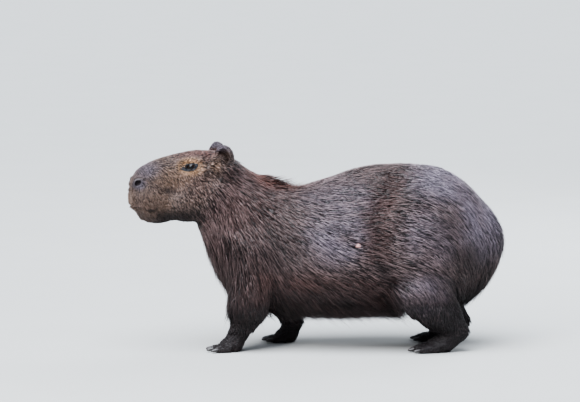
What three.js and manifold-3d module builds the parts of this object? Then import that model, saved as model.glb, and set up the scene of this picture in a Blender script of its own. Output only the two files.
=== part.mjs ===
import * as THREE from "three";
import { mergeVertices } from "three/addons/utils/BufferGeometryUtils.js";
import Module from "manifold-3d";

// A life-size capybara that stands still, in millimetres. It faces -X, its left side is towards -Y,
// and it stands on z = 0. Its head is turned a little to its left.

const wasm = await Module();
wasm.setup();

const GAP = 0.3; // left between two pieces that meet
const SMALLEST_EDGE = 0.08;
// How far a face may lie off the curve that it stands for.
const FLATTEST = { body: 0.9, core: 2, head: 0.2, foot: 0.4 };
const HEAD_TURN = THREE.MathUtils.degToRad(11);
const NECK_TURNS_AT_X = -170;

// The trunk, head and all, as upright slices from the nose to the rump. Each slice has the height of its
// top and underside, half its width, where it is widest as a share of its height, and how square it is.
const NOSE = { x: -577, z: 494 };
const RUMP = { x: 574, z: 318 };
const SLICES = [
  { x: -571, top: 522, under: 466, half: 31, widest: 0.55, square: 2.3 },
  { x: -559, top: 547, under: 440, half: 43, widest: 0.55, square: 2.5 },
  { x: -540, top: 563, under: 414, half: 51, widest: 0.52, square: 2.7 },
  { x: -510, top: 578, under: 400, half: 56, widest: 0.5, square: 2.8 },
  { x: -448, top: 597, under: 398, half: 62, widest: 0.46, square: 2.6 },
  { x: -390, top: 608, under: 398, half: 70, widest: 0.44, square: 2.4 },
  { x: -371, top: 610, under: 386, half: 74, widest: 0.45, square: 2.35 },
  { x: -334, top: 608, under: 296, half: 82, widest: 0.52, square: 2.3 },
  { x: -298, top: 601, under: 212, half: 92, widest: 0.5, square: 2.2 },
  { x: -264, top: 585, under: 160, half: 103, widest: 0.46, square: 2.2 },
  { x: -203, top: 545, under: 127, half: 124, widest: 0.44, square: 2.2 },
  { x: -150, top: 512, under: 117, half: 140, widest: 0.44, square: 2.15 },
  { x: -80, top: 493, under: 111, half: 160, widest: 0.44, square: 2.15 },
  { x: 0, top: 515, under: 107, half: 178, widest: 0.43, square: 2.15 },
  { x: 135, top: 554, under: 106, half: 195, widest: 0.42, square: 2.15 },
  { x: 258, top: 570, under: 110, half: 193, widest: 0.44, square: 2.15 },
  { x: 381, top: 554, under: 126, half: 170, widest: 0.46, square: 2.1 },
  { x: 442, top: 524, under: 142, half: 146, widest: 0.48, square: 2.1 },
  { x: 503, top: 463, under: 183, half: 106, widest: 0.48, square: 2.1 },
  { x: 534, top: 424, under: 214, half: 80, widest: 0.5, square: 2.1 },
  { x: 556, top: 391, under: 250, half: 56, widest: 0.5, square: 2.1 },
  { x: 568, top: 363, under: 283, half: 34, widest: 0.5, square: 2.1 },
];

// The neck leaves the torso, and the head the neck, along two planes that face forwards and up.
const NECK_RISE = THREE.MathUtils.degToRad(30);
const NECK_WAY = new THREE.Vector3(-Math.cos(NECK_RISE), 0, Math.sin(NECK_RISE));
const NECK_START = 332;
const NECK_END = 512;

const EYE = { at: new THREE.Vector3(-395.5, -52.6, 562.5), radius: 14.5 };
const EAR = { at: new THREE.Vector3(-295, -61, 588), wide: 31, tall: 39, deep: 30, wall: 5.5 };
const NOSTRIL = { at: new THREE.Vector3(-558, -43, 516.5), long: 12, high: 7.5, deep: 11 };
const MOUTH = { corner: [-492, 61, 428], middle: [-545, 44, 437], front: [-578, 0, 446], deep: 16, slit: 3.4 };

// Each leg's joints at its own side, and the thickness of the leg round them.
const LEGS = [
  {
    name: "front_left",
    side: -1,
    top: [-196, 88, 300, 56],
    bend: [-208, 104, 142, 52],
    end: [-236, 100, 58, 30],
    parted: 196,
    foot: { knuckles: [-262, 102, 17, 22], turn: 7, toes: "front" },
  },
  {
    name: "front_right",
    side: 1,
    top: [-176, 88, 300, 56],
    bend: [-130, 104, 160, 50],
    end: [-72, 100, 60, 30],
    parted: 200,
    foot: { knuckles: [-94, 102, 17, 22], turn: 7, toes: "front" },
  },
  {
    name: "hind_left",
    side: -1,
    top: [356, 82, 330, 90],
    bend: [306, 116, 190, 76],
    middle: [372, 114, 124, 58],
    end: [431, 112, 66, 34],
    parted: 232,
    foot: { knuckles: [372, 114, 19, 25], turn: 9, toes: "hind" },
  },
  {
    name: "hind_right",
    side: 1,
    top: [360, 82, 330, 90],
    bend: [318, 116, 190, 76],
    middle: [386, 114, 124, 58],
    end: [447, 112, 66, 34],
    parted: 232,
    foot: { knuckles: [388, 114, 19, 25], turn: 9, toes: "hind" },
  },
];
// Toes from the inner to the outer one: how far out they start, how far they splay, and their length.
const TOES = {
  front: { thick: 12.5, apart: 18, splay: 9, long: [36, 50, 49, 36] },
  hind: { thick: 14.5, apart: 23, splay: 8, long: [58, 68, 54] },
};
const CLAW = { long: 27, wide: 8, high: 6.8, sunk: 9 };

// The coat's locks: how deep the coat is over its core, and the size and spacing of a lock.
const COAT = { deep: 8, sunk: 6, thick: 5 };
const BODY_LOCKS = { long: 152, wide: 64, rows: 104, beside: 98 };
const NECK_LOCKS = { long: 104, wide: 46, rows: 60, beside: 66 };
// Which way the hair lies along the trunk: degrees below straight back, from the head to the rump.
const LIE = {
  x: [-380, -290, -200, -110, -20, 90, 220, 310, 380, 450, 520, 574],
  down: [58, 60, 52, 38, 22, 10, 9, 18, 34, 48, 66, 84],
};

const coat = new THREE.MeshStandardMaterial({ color: 0x4a3831, roughness: 0.75 });
const face = new THREE.MeshStandardMaterial({ color: 0x67523f, roughness: 0.8 });
const shank = new THREE.MeshStandardMaterial({ color: 0x33292a, roughness: 0.75 });
const sole = new THREE.MeshStandardMaterial({ color: 0x2b2628, roughness: 0.7 });
const ear = new THREE.MeshStandardMaterial({ color: 0x4c4443, roughness: 0.7 });
const horn = new THREE.MeshStandardMaterial({ color: 0x1d1a1a, roughness: 0.45 });
const eyeball = new THREE.MeshStandardMaterial({ color: 0x0c0908, roughness: 0.08 });

// Curves and distances

// A smooth curve through values at rising places that never swings past them.
function curveThrough(places, values) {
  const steps = places.slice(1).map((p, i) => p - places[i]);
  const slopes = steps.map((step, i) => (values[i + 1] - values[i]) / step);
  const leans = places.map((_, i) => {
    if (i === 0) return slopes[0];
    if (i === steps.length) return slopes[i - 1];
    if (slopes[i - 1] * slopes[i] <= 0) return 0;
    const before = 2 * steps[i] + steps[i - 1];
    const after = steps[i] + 2 * steps[i - 1];
    return (before + after) / (before / slopes[i - 1] + after / slopes[i]);
  });
  return (place) => {
    let i = 0;
    while (i < steps.length - 1 && place > places[i + 1]) i++;
    const t = (place - places[i]) / steps[i];
    const rest = 1 - t;
    return (
      values[i] * (1 + 2 * t) * rest * rest +
      leans[i] * steps[i] * t * rest * rest +
      values[i + 1] * t * t * (3 - 2 * t) -
      leans[i + 1] * steps[i] * t * t * rest
    );
  };
}

// The nearer of two surfaces, melted together within reach.
function melt(a, b, reach) {
  const near = Math.max(reach - Math.abs(a - b), 0) / reach;
  return Math.min(a, b) - (near * near * reach) / 4;
}

// A surface with another one scooped out of it, its rim rounded within reach.
function scoop(a, b, reach) {
  return -melt(-a, b, reach);
}

// How far a point is outside a limb that is straight between two joints, each [x, y, z, thickness].
function limbDistance(p, a, b) {
  const along = [b[0] - a[0], b[1] - a[1], b[2] - a[2]];
  const from = [p[0] - a[0], p[1] - a[1], p[2] - a[2]];
  const length = along[0] ** 2 + along[1] ** 2 + along[2] ** 2;
  const dot = from[0] * along[0] + from[1] * along[1] + from[2] * along[2];
  const t = Math.min(Math.max(dot / length, 0), 1);
  const off = Math.hypot(from[0] - t * along[0], from[1] - t * along[1], from[2] - t * along[2]);
  return off - a[3] - t * (b[3] - a[3]);
}

// How far a point is outside an egg with three half-widths, its length tipped nose-up by a pitch in degrees.
function eggDistance(p, at, half, pitch = 0) {
  const turn = THREE.MathUtils.degToRad(pitch);
  const x = p[0] - at[0];
  const z = p[2] - at[2];
  const local = [
    x * Math.cos(turn) - z * Math.sin(turn),
    p[1] - at[1],
    x * Math.sin(turn) + z * Math.cos(turn),
  ];
  const near = Math.hypot(...local.map((v, i) => v / half[i]));
  const steep = Math.hypot(...local.map((v, i) => v / half[i] ** 2));
  return steep === 0 ? -Math.min(...half) : (near * (near - 1)) / steep;
}

// The trunk

// Slices crowd towards both ends on this scale, so that the nose and the rump close round.
function sliceScale(x) {
  const share = (x - NOSE.x) / (RUMP.x - NOSE.x);
  return Math.acos(1 - 2 * Math.min(Math.max(share, 0), 1));
}

function sliceCurve(key, atNose, atRump) {
  const places = [0, ...SLICES.map((s) => sliceScale(s.x)), Math.PI];
  return curveThrough(places, [atNose, ...SLICES.map((s) => s[key]), atRump]);
}

const trunkTop = sliceCurve("top", NOSE.z, RUMP.z);
const trunkUnder = sliceCurve("under", NOSE.z, RUMP.z);
const trunkHalf = sliceCurve("half", 0, 0);
const trunkWidest = sliceCurve("widest", 0.55, 0.5);
const trunkSquare = sliceCurve("square", 2.2, 2.1);

// Below nought inside the trunk's slice, nought on it, and above nought outside.
function trunkShare(x, y, z) {
  const margin = 0.6;
  const inside = Math.min(Math.max(x, NOSE.x + margin), RUMP.x - margin);
  const s = sliceScale(inside);
  const under = trunkUnder(s);
  const top = trunkTop(s);
  const middle = under + (top - under) * trunkWidest(s);
  const half = z > middle ? top - middle : middle - under;
  const n = trunkSquare(s);
  const share = (Math.abs(y) / trunkHalf(s)) ** n + (Math.abs(z - middle) / half) ** n;
  return share ** (1 / n) - 1 + Math.abs(x - inside) / 10;
}

// The same as a length: the share over how fast it grows.
function trunkDistance(p) {
  const step = 1;
  const here = trunkShare(...p);
  const growth = Math.hypot(
    trunkShare(p[0] + step, p[1], p[2]) - here,
    trunkShare(p[0], p[1] + step, p[2]) - here,
    trunkShare(p[0], p[1], p[2] + step) - here,
  );
  return (here * step) / Math.max(growth, 1e-3);
}

const atSide = (joint, side) => [joint[0], side * joint[1], joint[2], joint[3]];

// The torso: the trunk with the muscles of the shoulders and haunches under its coat.
function torsoField(p) {
  let d = trunkDistance(p);
  for (const leg of LEGS) {
    const hind = leg.foot.toes === "hind";
    const upper = atSide(leg.top, leg.side);
    const lower = atSide(leg.bend, leg.side);
    upper[3] += 8;
    lower[3] -= 5;
    d = melt(d, limbDistance(p, upper, lower), hind ? 60 : 46);
  }
  return d;
}

// The coat's core, which comes up to the tips of the short hair where the head starts.
function coreField(p) {
  const behindHead = NECK_END - p[0] * NECK_WAY.x - p[2] * NECK_WAY.z;
  return torsoField(p) + COAT.deep * THREE.MathUtils.smoothstep(behindHead, 0, 70);
}

// The head, the same on both sides, before it is turned.
function headField(p) {
  const q = [p[0], Math.abs(p[1]), p[2]];
  let d = trunkDistance(p);
  d = melt(d, eggDistance(q, [-392, 46, 452], [70, 32, 54], -12), 26);
  d = melt(d, eggDistance(q, [-395, 49.5, 579.5], [40, 17, 15], -8), 18);
  d = melt(d, eggDistance(q, [-524, 26, 462], [50, 34, 46], 0), 22);
  d = melt(d, eggDistance(q, [-558, 36, 515], [16, 15, 17], 0), 12);
  d = melt(d, eggDistance(q, [-505, 0, 412], [48, 34, 22], 6), 18);
  d = melt(d, eggDistance(q, [-303, 53.5, 578], [34, 24, 26], 20), 18);
  d = scoop(d, eggDistance(q, [-461, 79, 487], [26, 15, 18], 20), 20);
  d = scoop(d, eggDistance(q, [-397.5, 76, 561.5], [25, 13, 13], -10), 12);
  d = scoop(d, eggDistance(q, [-330, 92, 530], [30, 18, 26], 0), 26);
  return d;
}

function legField(leg) {
  const joints = [leg.top, leg.bend, leg.middle, leg.end].filter(Boolean);
  const bones = joints.map((j) => atSide(j, leg.side));
  const elbow = leg.middle ? null : atSide([leg.bend[0] + 26, leg.bend[1], leg.bend[2] - 22, 28], leg.side);
  return (p) => {
    let d = Infinity;
    for (let i = 1; i < bones.length; i++) {
      const bone = limbDistance(p, bones[i - 1], bones[i]);
      d = i === 1 ? bone : melt(d, bone, 34);
    }
    return elbow ? melt(d, limbDistance(p, elbow, bones.at(-1)), 18) : d;
  };
}

// Skins

// A closed skin over rings that hold the same number of points. Two end points close a row of rings,
// and without them the last ring joins the first.
function loft(rings, ends) {
  const around = rings[0].length;
  const points = rings.flat();
  const faces = [];
  const rows = ends ? rings.length - 1 : rings.length;
  for (let i = 0; i < rows; i++) {
    for (let j = 0; j < around; j++) {
      const here = i * around;
      const next = ((i + 1) % rings.length) * around;
      const k = (j + 1) % around;
      faces.push(here + j, here + k, next + k, here + j, next + k, next + j);
    }
  }
  if (ends) {
    const first = points.push(...ends) - 2;
    const lastRing = (rings.length - 1) * around;
    for (let j = 0; j < around; j++) {
      const k = (j + 1) % around;
      faces.push(first, k, j, first + 1, lastRing + j, lastRing + k);
    }
  }
  const geometry = new THREE.BufferGeometry().setFromPoints(points).setIndex(faces);
  if (volumeOf(geometry) < 0) geometry.setIndex(faces.reverse());
  return geometry;
}

function volumeOf(geometry) {
  const [a, b, c] = [new THREE.Vector3(), new THREE.Vector3(), new THREE.Vector3()];
  const position = geometry.getAttribute("position");
  const index = geometry.index.array;
  let sum = 0;
  for (let i = 0; i < index.length; i += 3) {
    a.fromBufferAttribute(position, index[i]);
    b.fromBufferAttribute(position, index[i + 1]);
    c.fromBufferAttribute(position, index[i + 2]);
    sum += a.dot(b.cross(c));
  }
  return sum / 6;
}

// How far a ray goes from a point inside a field before it leaves it.
function rayLength(field, from, way, longest) {
  const stride = 6;
  const at = (r) => field([from.x + way.x * r, from.y + way.y * r, from.z + way.z * r]);
  let far = stride;
  while (far < longest && at(far) < 0) far += stride;
  let near = far - stride;
  far = Math.min(far, longest);
  for (let i = 0; i < 12; i++) {
    const middle = (near + far) / 2;
    if (at(middle) < 0) near = middle;
    else far = middle;
  }
  return near;
}

// Wraps a field in a skin. The axis is a list of places with a heading and a lean: rays leave each place
// all round the heading, leaning along it by so many degrees, and an end that leans closes on its last ray.
function wrap(field, axis, around, longest = 420) {
  const ray = (from, way) => from.clone().addScaledVector(way, rayLength(field, from, way, longest));
  const sideways = new THREE.Vector3(0, 1, 0);
  const rings = axis.map(({ at, heading, lean }) => {
    const up = new THREE.Vector3().crossVectors(heading, sideways).normalize();
    const leaning = THREE.MathUtils.degToRad(lean);
    return Array.from({ length: around }, (_, j) => {
      const angle = (2 * Math.PI * (j + 0.5)) / around;
      const way = up.clone().multiplyScalar(Math.cos(angle));
      way.addScaledVector(sideways, Math.sin(angle)).multiplyScalar(Math.cos(leaning));
      return ray(at, way.addScaledVector(heading, Math.sin(leaning)).normalize());
    });
  });
  const end = ({ at, heading, lean }) => (lean ? ray(at, heading.clone().multiplyScalar(Math.sign(lean))) : at);
  return loft(rings, [end(axis[0]), end(axis.at(-1))]);
}

// Places along a curve through corners, about a spacing apart. Each heads along the curve, or all head one way.
function places(corners, spacing, oneWay) {
  const curve = new THREE.CatmullRomCurve3(corners.map((c) => new THREE.Vector3(...c)), false, "centripetal");
  const count = Math.round(curve.getLength() / spacing);
  return Array.from({ length: count + 1 }, (_, i) => ({
    at: curve.getPointAt(i / count),
    heading: oneWay ?? curve.getTangentAt(i / count),
    lean: 0,
  }));
}

// Leaning rays at one end of an axis, which round it off.
function rounded(axis, leans, atStart) {
  const end = atStart ? axis[0] : axis.at(-1);
  const cap = leans.map((lean) => ({ ...end, lean: atStart ? -lean : lean }));
  return atStart ? [...cap.reverse(), ...axis] : [...axis, ...cap];
}

// The same skin a little larger, to cut room for it.
function swollen(geometry, by = GAP) {
  const larger = geometry.clone();
  larger.computeVertexNormals();
  const position = larger.getAttribute("position");
  const normal = larger.getAttribute("normal");
  for (let i = 0; i < position.count; i++) {
    position.setXYZ(
      i,
      position.getX(i) + by * normal.getX(i),
      position.getY(i) + by * normal.getY(i),
      position.getZ(i) + by * normal.getZ(i),
    );
  }
  larger.deleteAttribute("normal");
  return larger;
}

function solidOf(geometry) {
  const bare = geometry.clone();
  bare.deleteAttribute("normal");
  bare.deleteAttribute("uv");
  const merged = mergeVertices(bare, 1e-3);
  return new wasm.Manifold(
    new wasm.Mesh({
      numProp: 3,
      vertProperties: merged.getAttribute("position").array,
      triVerts: new Uint32Array(merged.index.array),
    }),
  );
}

// The same random numbers at every run, from nought to one.
function randomFrom(seed) {
  let state = seed;
  return () => {
    state = (state + 0x6d2b79f5) | 0;
    let t = Math.imul(state ^ (state >>> 15), 1 | state);
    t = (t + Math.imul(t ^ (t >>> 7), 61 | t)) ^ t;
    return ((t ^ (t >>> 14)) >>> 0) / 4294967296;
  };
}

// The way straight out of a field's surface.
function outOf(field, p) {
  const here = field(p.toArray());
  const step = 2;
  return new THREE.Vector3(
    field([p.x + step, p.y, p.z]) - here,
    field([p.x, p.y + step, p.z]) - here,
    field([p.x, p.y, p.z + step]) - here,
  ).normalize();
}

// Moves a point straight in or out until it is so far outside the field.
function settle(field, p, height) {
  const out = outOf(field, p);
  for (let i = 0; i < 3; i++) p.addScaledVector(out, height - field(p.toArray()));
  return out;
}

const lieDown = curveThrough(LIE.x, LIE.down);

// The way the hair lies at a point: back, and more or less down.
function lieAt(p, out) {
  const low = 1 - Math.min(Math.max((p.z - 120) / 380, 0), 1);
  const down = THREE.MathUtils.degToRad(Math.min(lieDown(p.x) + 16 * low, 86));
  const way = new THREE.Vector3(Math.cos(down), 0, -Math.sin(down));
  return way.addScaledVector(out, -way.dot(out)).normalize();
}

// A flat, tapered lock: its root is sunk in the core, and it bends along the body as far as the coat's tips.
// Where a crease of the body would fold it there is none.
function lockSkin(field, root, long, wide, swing) {
  const at = root.clone();
  const widths = [0.66, 1, 0.72];
  const heights = [-COAT.deep - COAT.sunk, -COAT.deep + 0.8, -3.2, -0.6];
  let creased = false;
  const rings = widths.map((share, i) => {
    const out = settle(field, at, heights[i]);
    const way = lieAt(at, out).applyAxisAngle(out, swing * i);
    const across = new THREE.Vector3().crossVectors(out, way);
    const edges = [-1, 1].map((side) => {
      const edge = at.clone().addScaledVector(across, side * share * wide * 0.5);
      settle(field, edge, heights[i] - 0.8);
      return edge;
    });
    const ridge = at.clone().addScaledVector(out, COAT.thick * (1 - 0.15 * i) * 0.5);
    const chord = edges[0].clone().add(edges[1]).multiplyScalar(0.5);
    creased ||= edges[0].distanceTo(edges[1]) < 0.75 * share * wide || ridge.sub(chord).dot(out) < 1.5;
    ridge.add(chord);
    at.addScaledVector(way, long / widths.length);
    return [edges[0], ridge, edges[1]];
  });
  settle(field, at, heights.at(-1));
  const foot = rings[0].reduce((a, b) => a.clone().add(b)).divideScalar(3);
  return creased ? null : loft(rings, [foot, at]);
}

// Locks in staggered rows round an axis, each kept on its own side of the planes that bound its node.
function lockSkins(field, axis, bounds, size, seed) {
  const random = randomFrom(seed);
  const sideways = new THREE.Vector3(0, 1, 0);
  const skins = [];
  axis.forEach(({ at, heading, lean }, row) => {
    const up = new THREE.Vector3().crossVectors(heading, sideways).normalize();
    const leaning = THREE.MathUtils.degToRad(lean);
    const sample = rayLength((p) => field(p) + COAT.deep, at, sideways, 420) * Math.cos(leaning);
    const count = Math.max(Math.round((2 * Math.PI * sample * 1.12) / size.beside), 5);
    for (let j = 0; j < count; j++) {
      const angle = (2 * Math.PI * (j + (row % 2) * 0.5 + 0.3 * (random() - 0.5))) / count;
      const way = up.clone().multiplyScalar(Math.cos(angle));
      way.addScaledVector(sideways, Math.sin(angle)).multiplyScalar(Math.cos(leaning));
      way.addScaledVector(heading, Math.sin(leaning)).normalize();
      const start = at.clone().addScaledVector(heading, size.rows * 0.35 * (random() - 0.5));
      const root = start.addScaledVector(way, rayLength((p) => field(p) + COAT.deep, start, way, 420));
      const long = size.long * (0.82 + 0.36 * random());
      const wide = size.wide * (0.85 + 0.3 * random());
      const swing = 0.16 * (random() - 0.5);
      const under = way.z < -0.8 && root.z < 190;
      const nearLeg = LEGS.some((leg) => legField(leg)(root.toArray()) < 4 && root.z < leg.parted + 14);
      if (under || nearLeg) continue;
      const skin = lockSkin(field, root, long, wide, swing);
      if (!skin) continue;
      const position = skin.getAttribute("position");
      const point = new THREE.Vector3();
      let inside = true;
      for (let i = 0; i < position.count; i++) {
        point.fromBufferAttribute(position, i);
        inside &&= bounds.every(({ way: w, from, to }) => point.dot(w) > from && point.dot(w) < to) && point.z > 8;
      }
      if (inside) skins.push(skin);
    }
  });
  return skins;
}

// A solid's largest closed surface.
function largest(solid) {
  return solid.decompose().reduce((a, b) => (b.volume() > a.volume() ? b : a));
}

function meshOf(name, solid, material, flattest = SMALLEST_EDGE) {
  const { vertProperties, triVerts } = largest(solid.simplify(flattest)).getMesh();
  const geometry = new THREE.BufferGeometry();
  geometry.setAttribute("position", new THREE.BufferAttribute(vertProperties, 3));
  geometry.setIndex(new THREE.BufferAttribute(triVerts, 1));
  geometry.computeVertexNormals();
  const mesh = new THREE.Mesh(geometry, material);
  mesh.name = name;
  return mesh;
}

const keepAbove = (solid, z) => solid.trimByPlane([0, 0, 1], z);
const keepBelow = (solid, z) => solid.trimByPlane([0, 0, -1], -z);
const keepAhead = (solid, way, from) => solid.trimByPlane(way.toArray(), from);
const keepBehind = (solid, way, from) => solid.trimByPlane(way.clone().negate().toArray(), -from);

// Legs and feet

const ANKLE_CUT = 62;
const DOWN = new THREE.Vector3(0, 0, -1);
const AHEAD = new THREE.Vector3(-1, 0, 0);

function legSkin(leg) {
  const joints = [leg.top, leg.bend, leg.middle, leg.end].filter(Boolean);
  const corners = joints.map((j) => atSide(j, leg.side).slice(0, 3));
  const axis = rounded(rounded(places(corners, 24, DOWN), [50], true), [50], false);
  return wrap(legField(leg), axis, 16, 150);
}

// One toe's root and tip on the ground, its thickness, and the way it points.
function toesOf(leg) {
  const { thick, apart, splay, long } = TOES[leg.foot.toes];
  const [x, y, z] = atSide(leg.foot.knuckles, leg.side);
  return long.map((length, i) => {
    const out = i - (long.length - 1) / 2;
    const angle = THREE.MathUtils.degToRad(leg.foot.turn + out * splay) * leg.side;
    const way = new THREE.Vector3(-Math.cos(angle), Math.sin(angle), 0);
    const root = new THREE.Vector3(x, y + leg.side * out * apart, Math.min(z, thick * 0.95));
    const tip = root.clone().addScaledVector(way, length).setZ(thick * 0.62);
    return { root, tip, way, thick };
  });
}

function footSolid(leg) {
  const knuckles = atSide(leg.foot.knuckles, leg.side);
  const hind = leg.foot.toes === "hind";
  const ankle = atSide(leg.end, leg.side);
  const toes = toesOf(leg);
  const spread = (toes.length - 1) * TOES[leg.foot.toes].apart * 0.5;
  const up = new THREE.Vector3(...atSide(leg.middle ?? leg.bend, leg.side)).sub(new THREE.Vector3(...ankle));
  const shin = new THREE.Vector3(...ankle).addScaledVector(up.normalize(), 24).toArray();
  const field = (p) => {
    const palm = eggDistance(p, knuckles, [hind ? 44 : 36, spread + 12, 19]);
    const heel = limbDistance(p, [...shin, ankle[3] + (hind ? 5 : 7)], ankle);
    return melt(Math.min(heel, limbDistance(p, ankle, knuckles)), palm, 20);
  };
  const heel = [ankle[0] + 6, ankle[1], 40];
  const axis = places([heel, [knuckles[0] + 20, knuckles[1], 24], knuckles.slice(0, 3)], 17, AHEAD);
  const skin = wrap(field, rounded(rounded(axis, [32, 62], true), [30, 62], false), 14, 130);
  let solid = solidOf(skin).simplify(FLATTEST.foot);
  for (const toe of toes) {
    const bone = [...toe.root.toArray(), toe.thick + 1];
    const last = [...toe.tip.toArray(), toe.thick - 2.5];
    const toeAxis = rounded(places([bone.slice(0, 3), last.slice(0, 3)], 34), [40], false);
    solid = solid.add(solidOf(wrap((p) => limbDistance(p, bone, last), toeAxis, 8, 60)));
  }
  return solid;
}

// A blunt, hoof-like claw that points along a toe.
function clawSkin(toe) {
  const out = new THREE.Vector3().crossVectors(toe.way, new THREE.Vector3(0, 0, 1));
  const start = toe.tip.clone().addScaledVector(toe.way, toe.thick - 2.5 - CLAW.sunk);
  start.z = CLAW.high + 3.6;
  const onAxis = (along) => start.clone().addScaledVector(toe.way, along * CLAW.long).setZ(start.z - 3.4 * along);
  const rings = [
    [0.85, 0.06],
    [1, 0.4],
    [0.62, 0.86],
  ].map(([share, along]) =>
    Array.from({ length: 8 }, (_, j) => {
      const angle = (2 * Math.PI * (j + 0.5)) / 8;
      const point = onAxis(along).addScaledVector(out, share * CLAW.wide * Math.cos(angle));
      return point.setZ(point.z + share * CLAW.high * Math.sin(angle));
    }),
  );
  return loft(rings, [onAxis(0), onAxis(1)]);
}

// Head

const headRings = () => {
  const axis = places([[-250, 0, 478], [-380, 0, 500], [-512, 0, 487]], 13);
  return rounded(axis, [14, 28, 42, 56, 68, 80], false);
};

// A ring tube round points, each with the way out of the surface that it lies on.
function hoop(points, outwards, radius, sides) {
  const rings = points.map((point, i) => {
    const next = points[(i + 1) % points.length];
    const before = points[(i + points.length - 1) % points.length];
    const along = next.clone().sub(before).normalize();
    const across = new THREE.Vector3().crossVectors(along, outwards[i]).normalize();
    return Array.from({ length: sides }, (_, j) => {
      const angle = (2 * Math.PI * j) / sides;
      const off = across.clone().multiplyScalar(Math.cos(angle)).addScaledVector(outwards[i], Math.sin(angle));
      return point.clone().addScaledVector(off, radius);
    });
  });
  return loft(rings);
}

// The lids, one almond-shaped hoop that hugs the left eyeball.
function lidSkin() {
  const { at, radius } = EYE;
  const count = 18;
  const slant = THREE.MathUtils.degToRad(-13);
  const outwards = Array.from({ length: count }, (_, i) => {
    const angle = (2 * Math.PI * i) / count;
    const wide = Math.cos(angle) * (0.98 + 0.14 * Math.cos(angle) ** 8);
    const high = Math.sin(angle) * (Math.sin(angle) > 0 ? 0.52 : 0.6) * (1 - 0.25 * Math.cos(angle) ** 4);
    const x = wide * Math.cos(slant) - high * Math.sin(slant);
    const z = wide * Math.sin(slant) + high * Math.cos(slant);
    return new THREE.Vector3(x, -0.82, z + 0.1).normalize();
  });
  const points = outwards.map((way) => at.clone().addScaledVector(way, radius + 1.2));
  return hoop(points, outwards, 3.6, 5);
}

// The slit of the mouth, a thin wedge from one corner round the front to the other.
function mouthSkin() {
  const { corner, middle, front, deep, slit } = MOUTH;
  const left = [corner, middle].map(([x, y, z]) => new THREE.Vector3(x, -y, z));
  const right = [middle, corner].map(([x, y, z]) => new THREE.Vector3(x, y, z));
  const curve = new THREE.CatmullRomCurve3([...left, new THREE.Vector3(...front), ...right], false, "centripetal");
  const count = 12;
  const rings = Array.from({ length: count + 1 }, (_, i) => {
    const t = i / count;
    const at = curve.getPointAt(t);
    const tangent = curve.getTangentAt(t);
    const out = new THREE.Vector3(tangent.y, -tangent.x, 0).normalize();
    if (out.x * (at.x + 480) + out.y * at.y < 0) out.negate();
    const open = slit * (0.35 + 0.65 * Math.sin(Math.PI * t));
    const inner = at.clone().addScaledVector(out, -deep * 0.55);
    const outer = at.clone().addScaledVector(out, deep);
    return [
      inner,
      outer.clone().add(new THREE.Vector3(0, 0, open * 1.6)),
      outer.clone().add(new THREE.Vector3(0, 0, -open * 1.6)),
    ];
  });
  const middleOf = (ring) => ring.reduce((a, b) => a.clone().add(b)).divideScalar(ring.length);
  return loft(rings, [middleOf(rings[0]), middleOf(rings.at(-1))]);
}

function nostrilSkin() {
  const { at, long, high, deep } = NOSTRIL;
  const pit = new THREE.SphereGeometry(1, 10, 6).scale(long, deep, high);
  return pit.rotateY(THREE.MathUtils.degToRad(-28)).rotateZ(THREE.MathUtils.degToRad(-24)).translate(...at.toArray());
}

// The left ear, a small cup that opens outwards and forwards, with its rim rolled in over the top.
function earSkin() {
  const { at, wide, tall, deep, wall } = EAR;
  const around = 16;
  const outwards = new THREE.Vector3(-0.36, -0.9, 0.22).normalize();
  const back = new THREE.Vector3(0.93, -0.36, 0.05).normalize();
  const up = new THREE.Vector3().crossVectors(outwards, back).normalize();
  if (up.z < 0) up.negate();
  const rim = (angle) => {
    const top = Math.max(Math.sin(angle), 0);
    const low = Math.max(-Math.sin(angle), 0);
    return {
      x: Math.cos(angle) * wide * (1 - 0.16 * low),
      z: Math.sin(angle) * tall * (1 - 0.12 * low),
      // The front edge lies close to the head, and the top curls over.
      out: deep * (0.62 + 0.3 * Math.cos(angle) + 0.12 * top),
      curl: 0.86 - 0.12 * top,
    };
  };
  const point = (share, depth, angle, shrink) => {
    const r = rim(angle);
    const x = (r.x - Math.sign(r.x) * shrink) * share;
    const z = (r.z - Math.sign(r.z) * shrink) * share;
    return at
      .clone()
      .addScaledVector(back, x)
      .addScaledVector(up, z)
      .addScaledVector(outwards, r.out * depth);
  };
  const angles = Array.from({ length: around }, (_, j) => (2 * Math.PI * (j + 0.5)) / around);
  const outer = [
    [0.5, -0.75],
    [0.86, -0.25],
    [1.01, 0.35],
    [0.97, 0.85],
  ];
  const inner = [
    [0.88, 1.02],
    [0.93, 0.75],
    [0.84, 0.3],
    [0.5, -0.02],
  ];
  const rings = [
    ...outer.map(([share, depth]) => angles.map((angle) => point(share, depth, angle, 0))),
    ...inner.map(([share, depth]) => angles.map((angle) => point(share, depth, angle, wall * 0.8))),
  ];
  const root = at.clone().addScaledVector(outwards, -deep * 0.62);
  const bottom = at.clone().addScaledVector(outwards, -deep * 0.04);
  return loft(rings, [root, bottom]);
}

// Mirrors a skin to the other side, with its faces turned back outwards.
function mirrored(geometry) {
  const other = geometry.clone().scale(1, -1, 1);
  return other.setIndex([...other.index.array].reverse());
}

const bothSides = (geometry) => [
  ["left", geometry],
  ["right", mirrored(geometry)],
];

// Everything ahead of the neck turns with the head, about an upright axis in the chest.
const headPivot = new THREE.Group();
headPivot.position.x = NECK_TURNS_AT_X;
headPivot.rotation.z = HEAD_TURN;
const headGroup = new THREE.Group();
headGroup.position.x = -NECK_TURNS_AT_X;
headPivot.add(headGroup);

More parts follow.
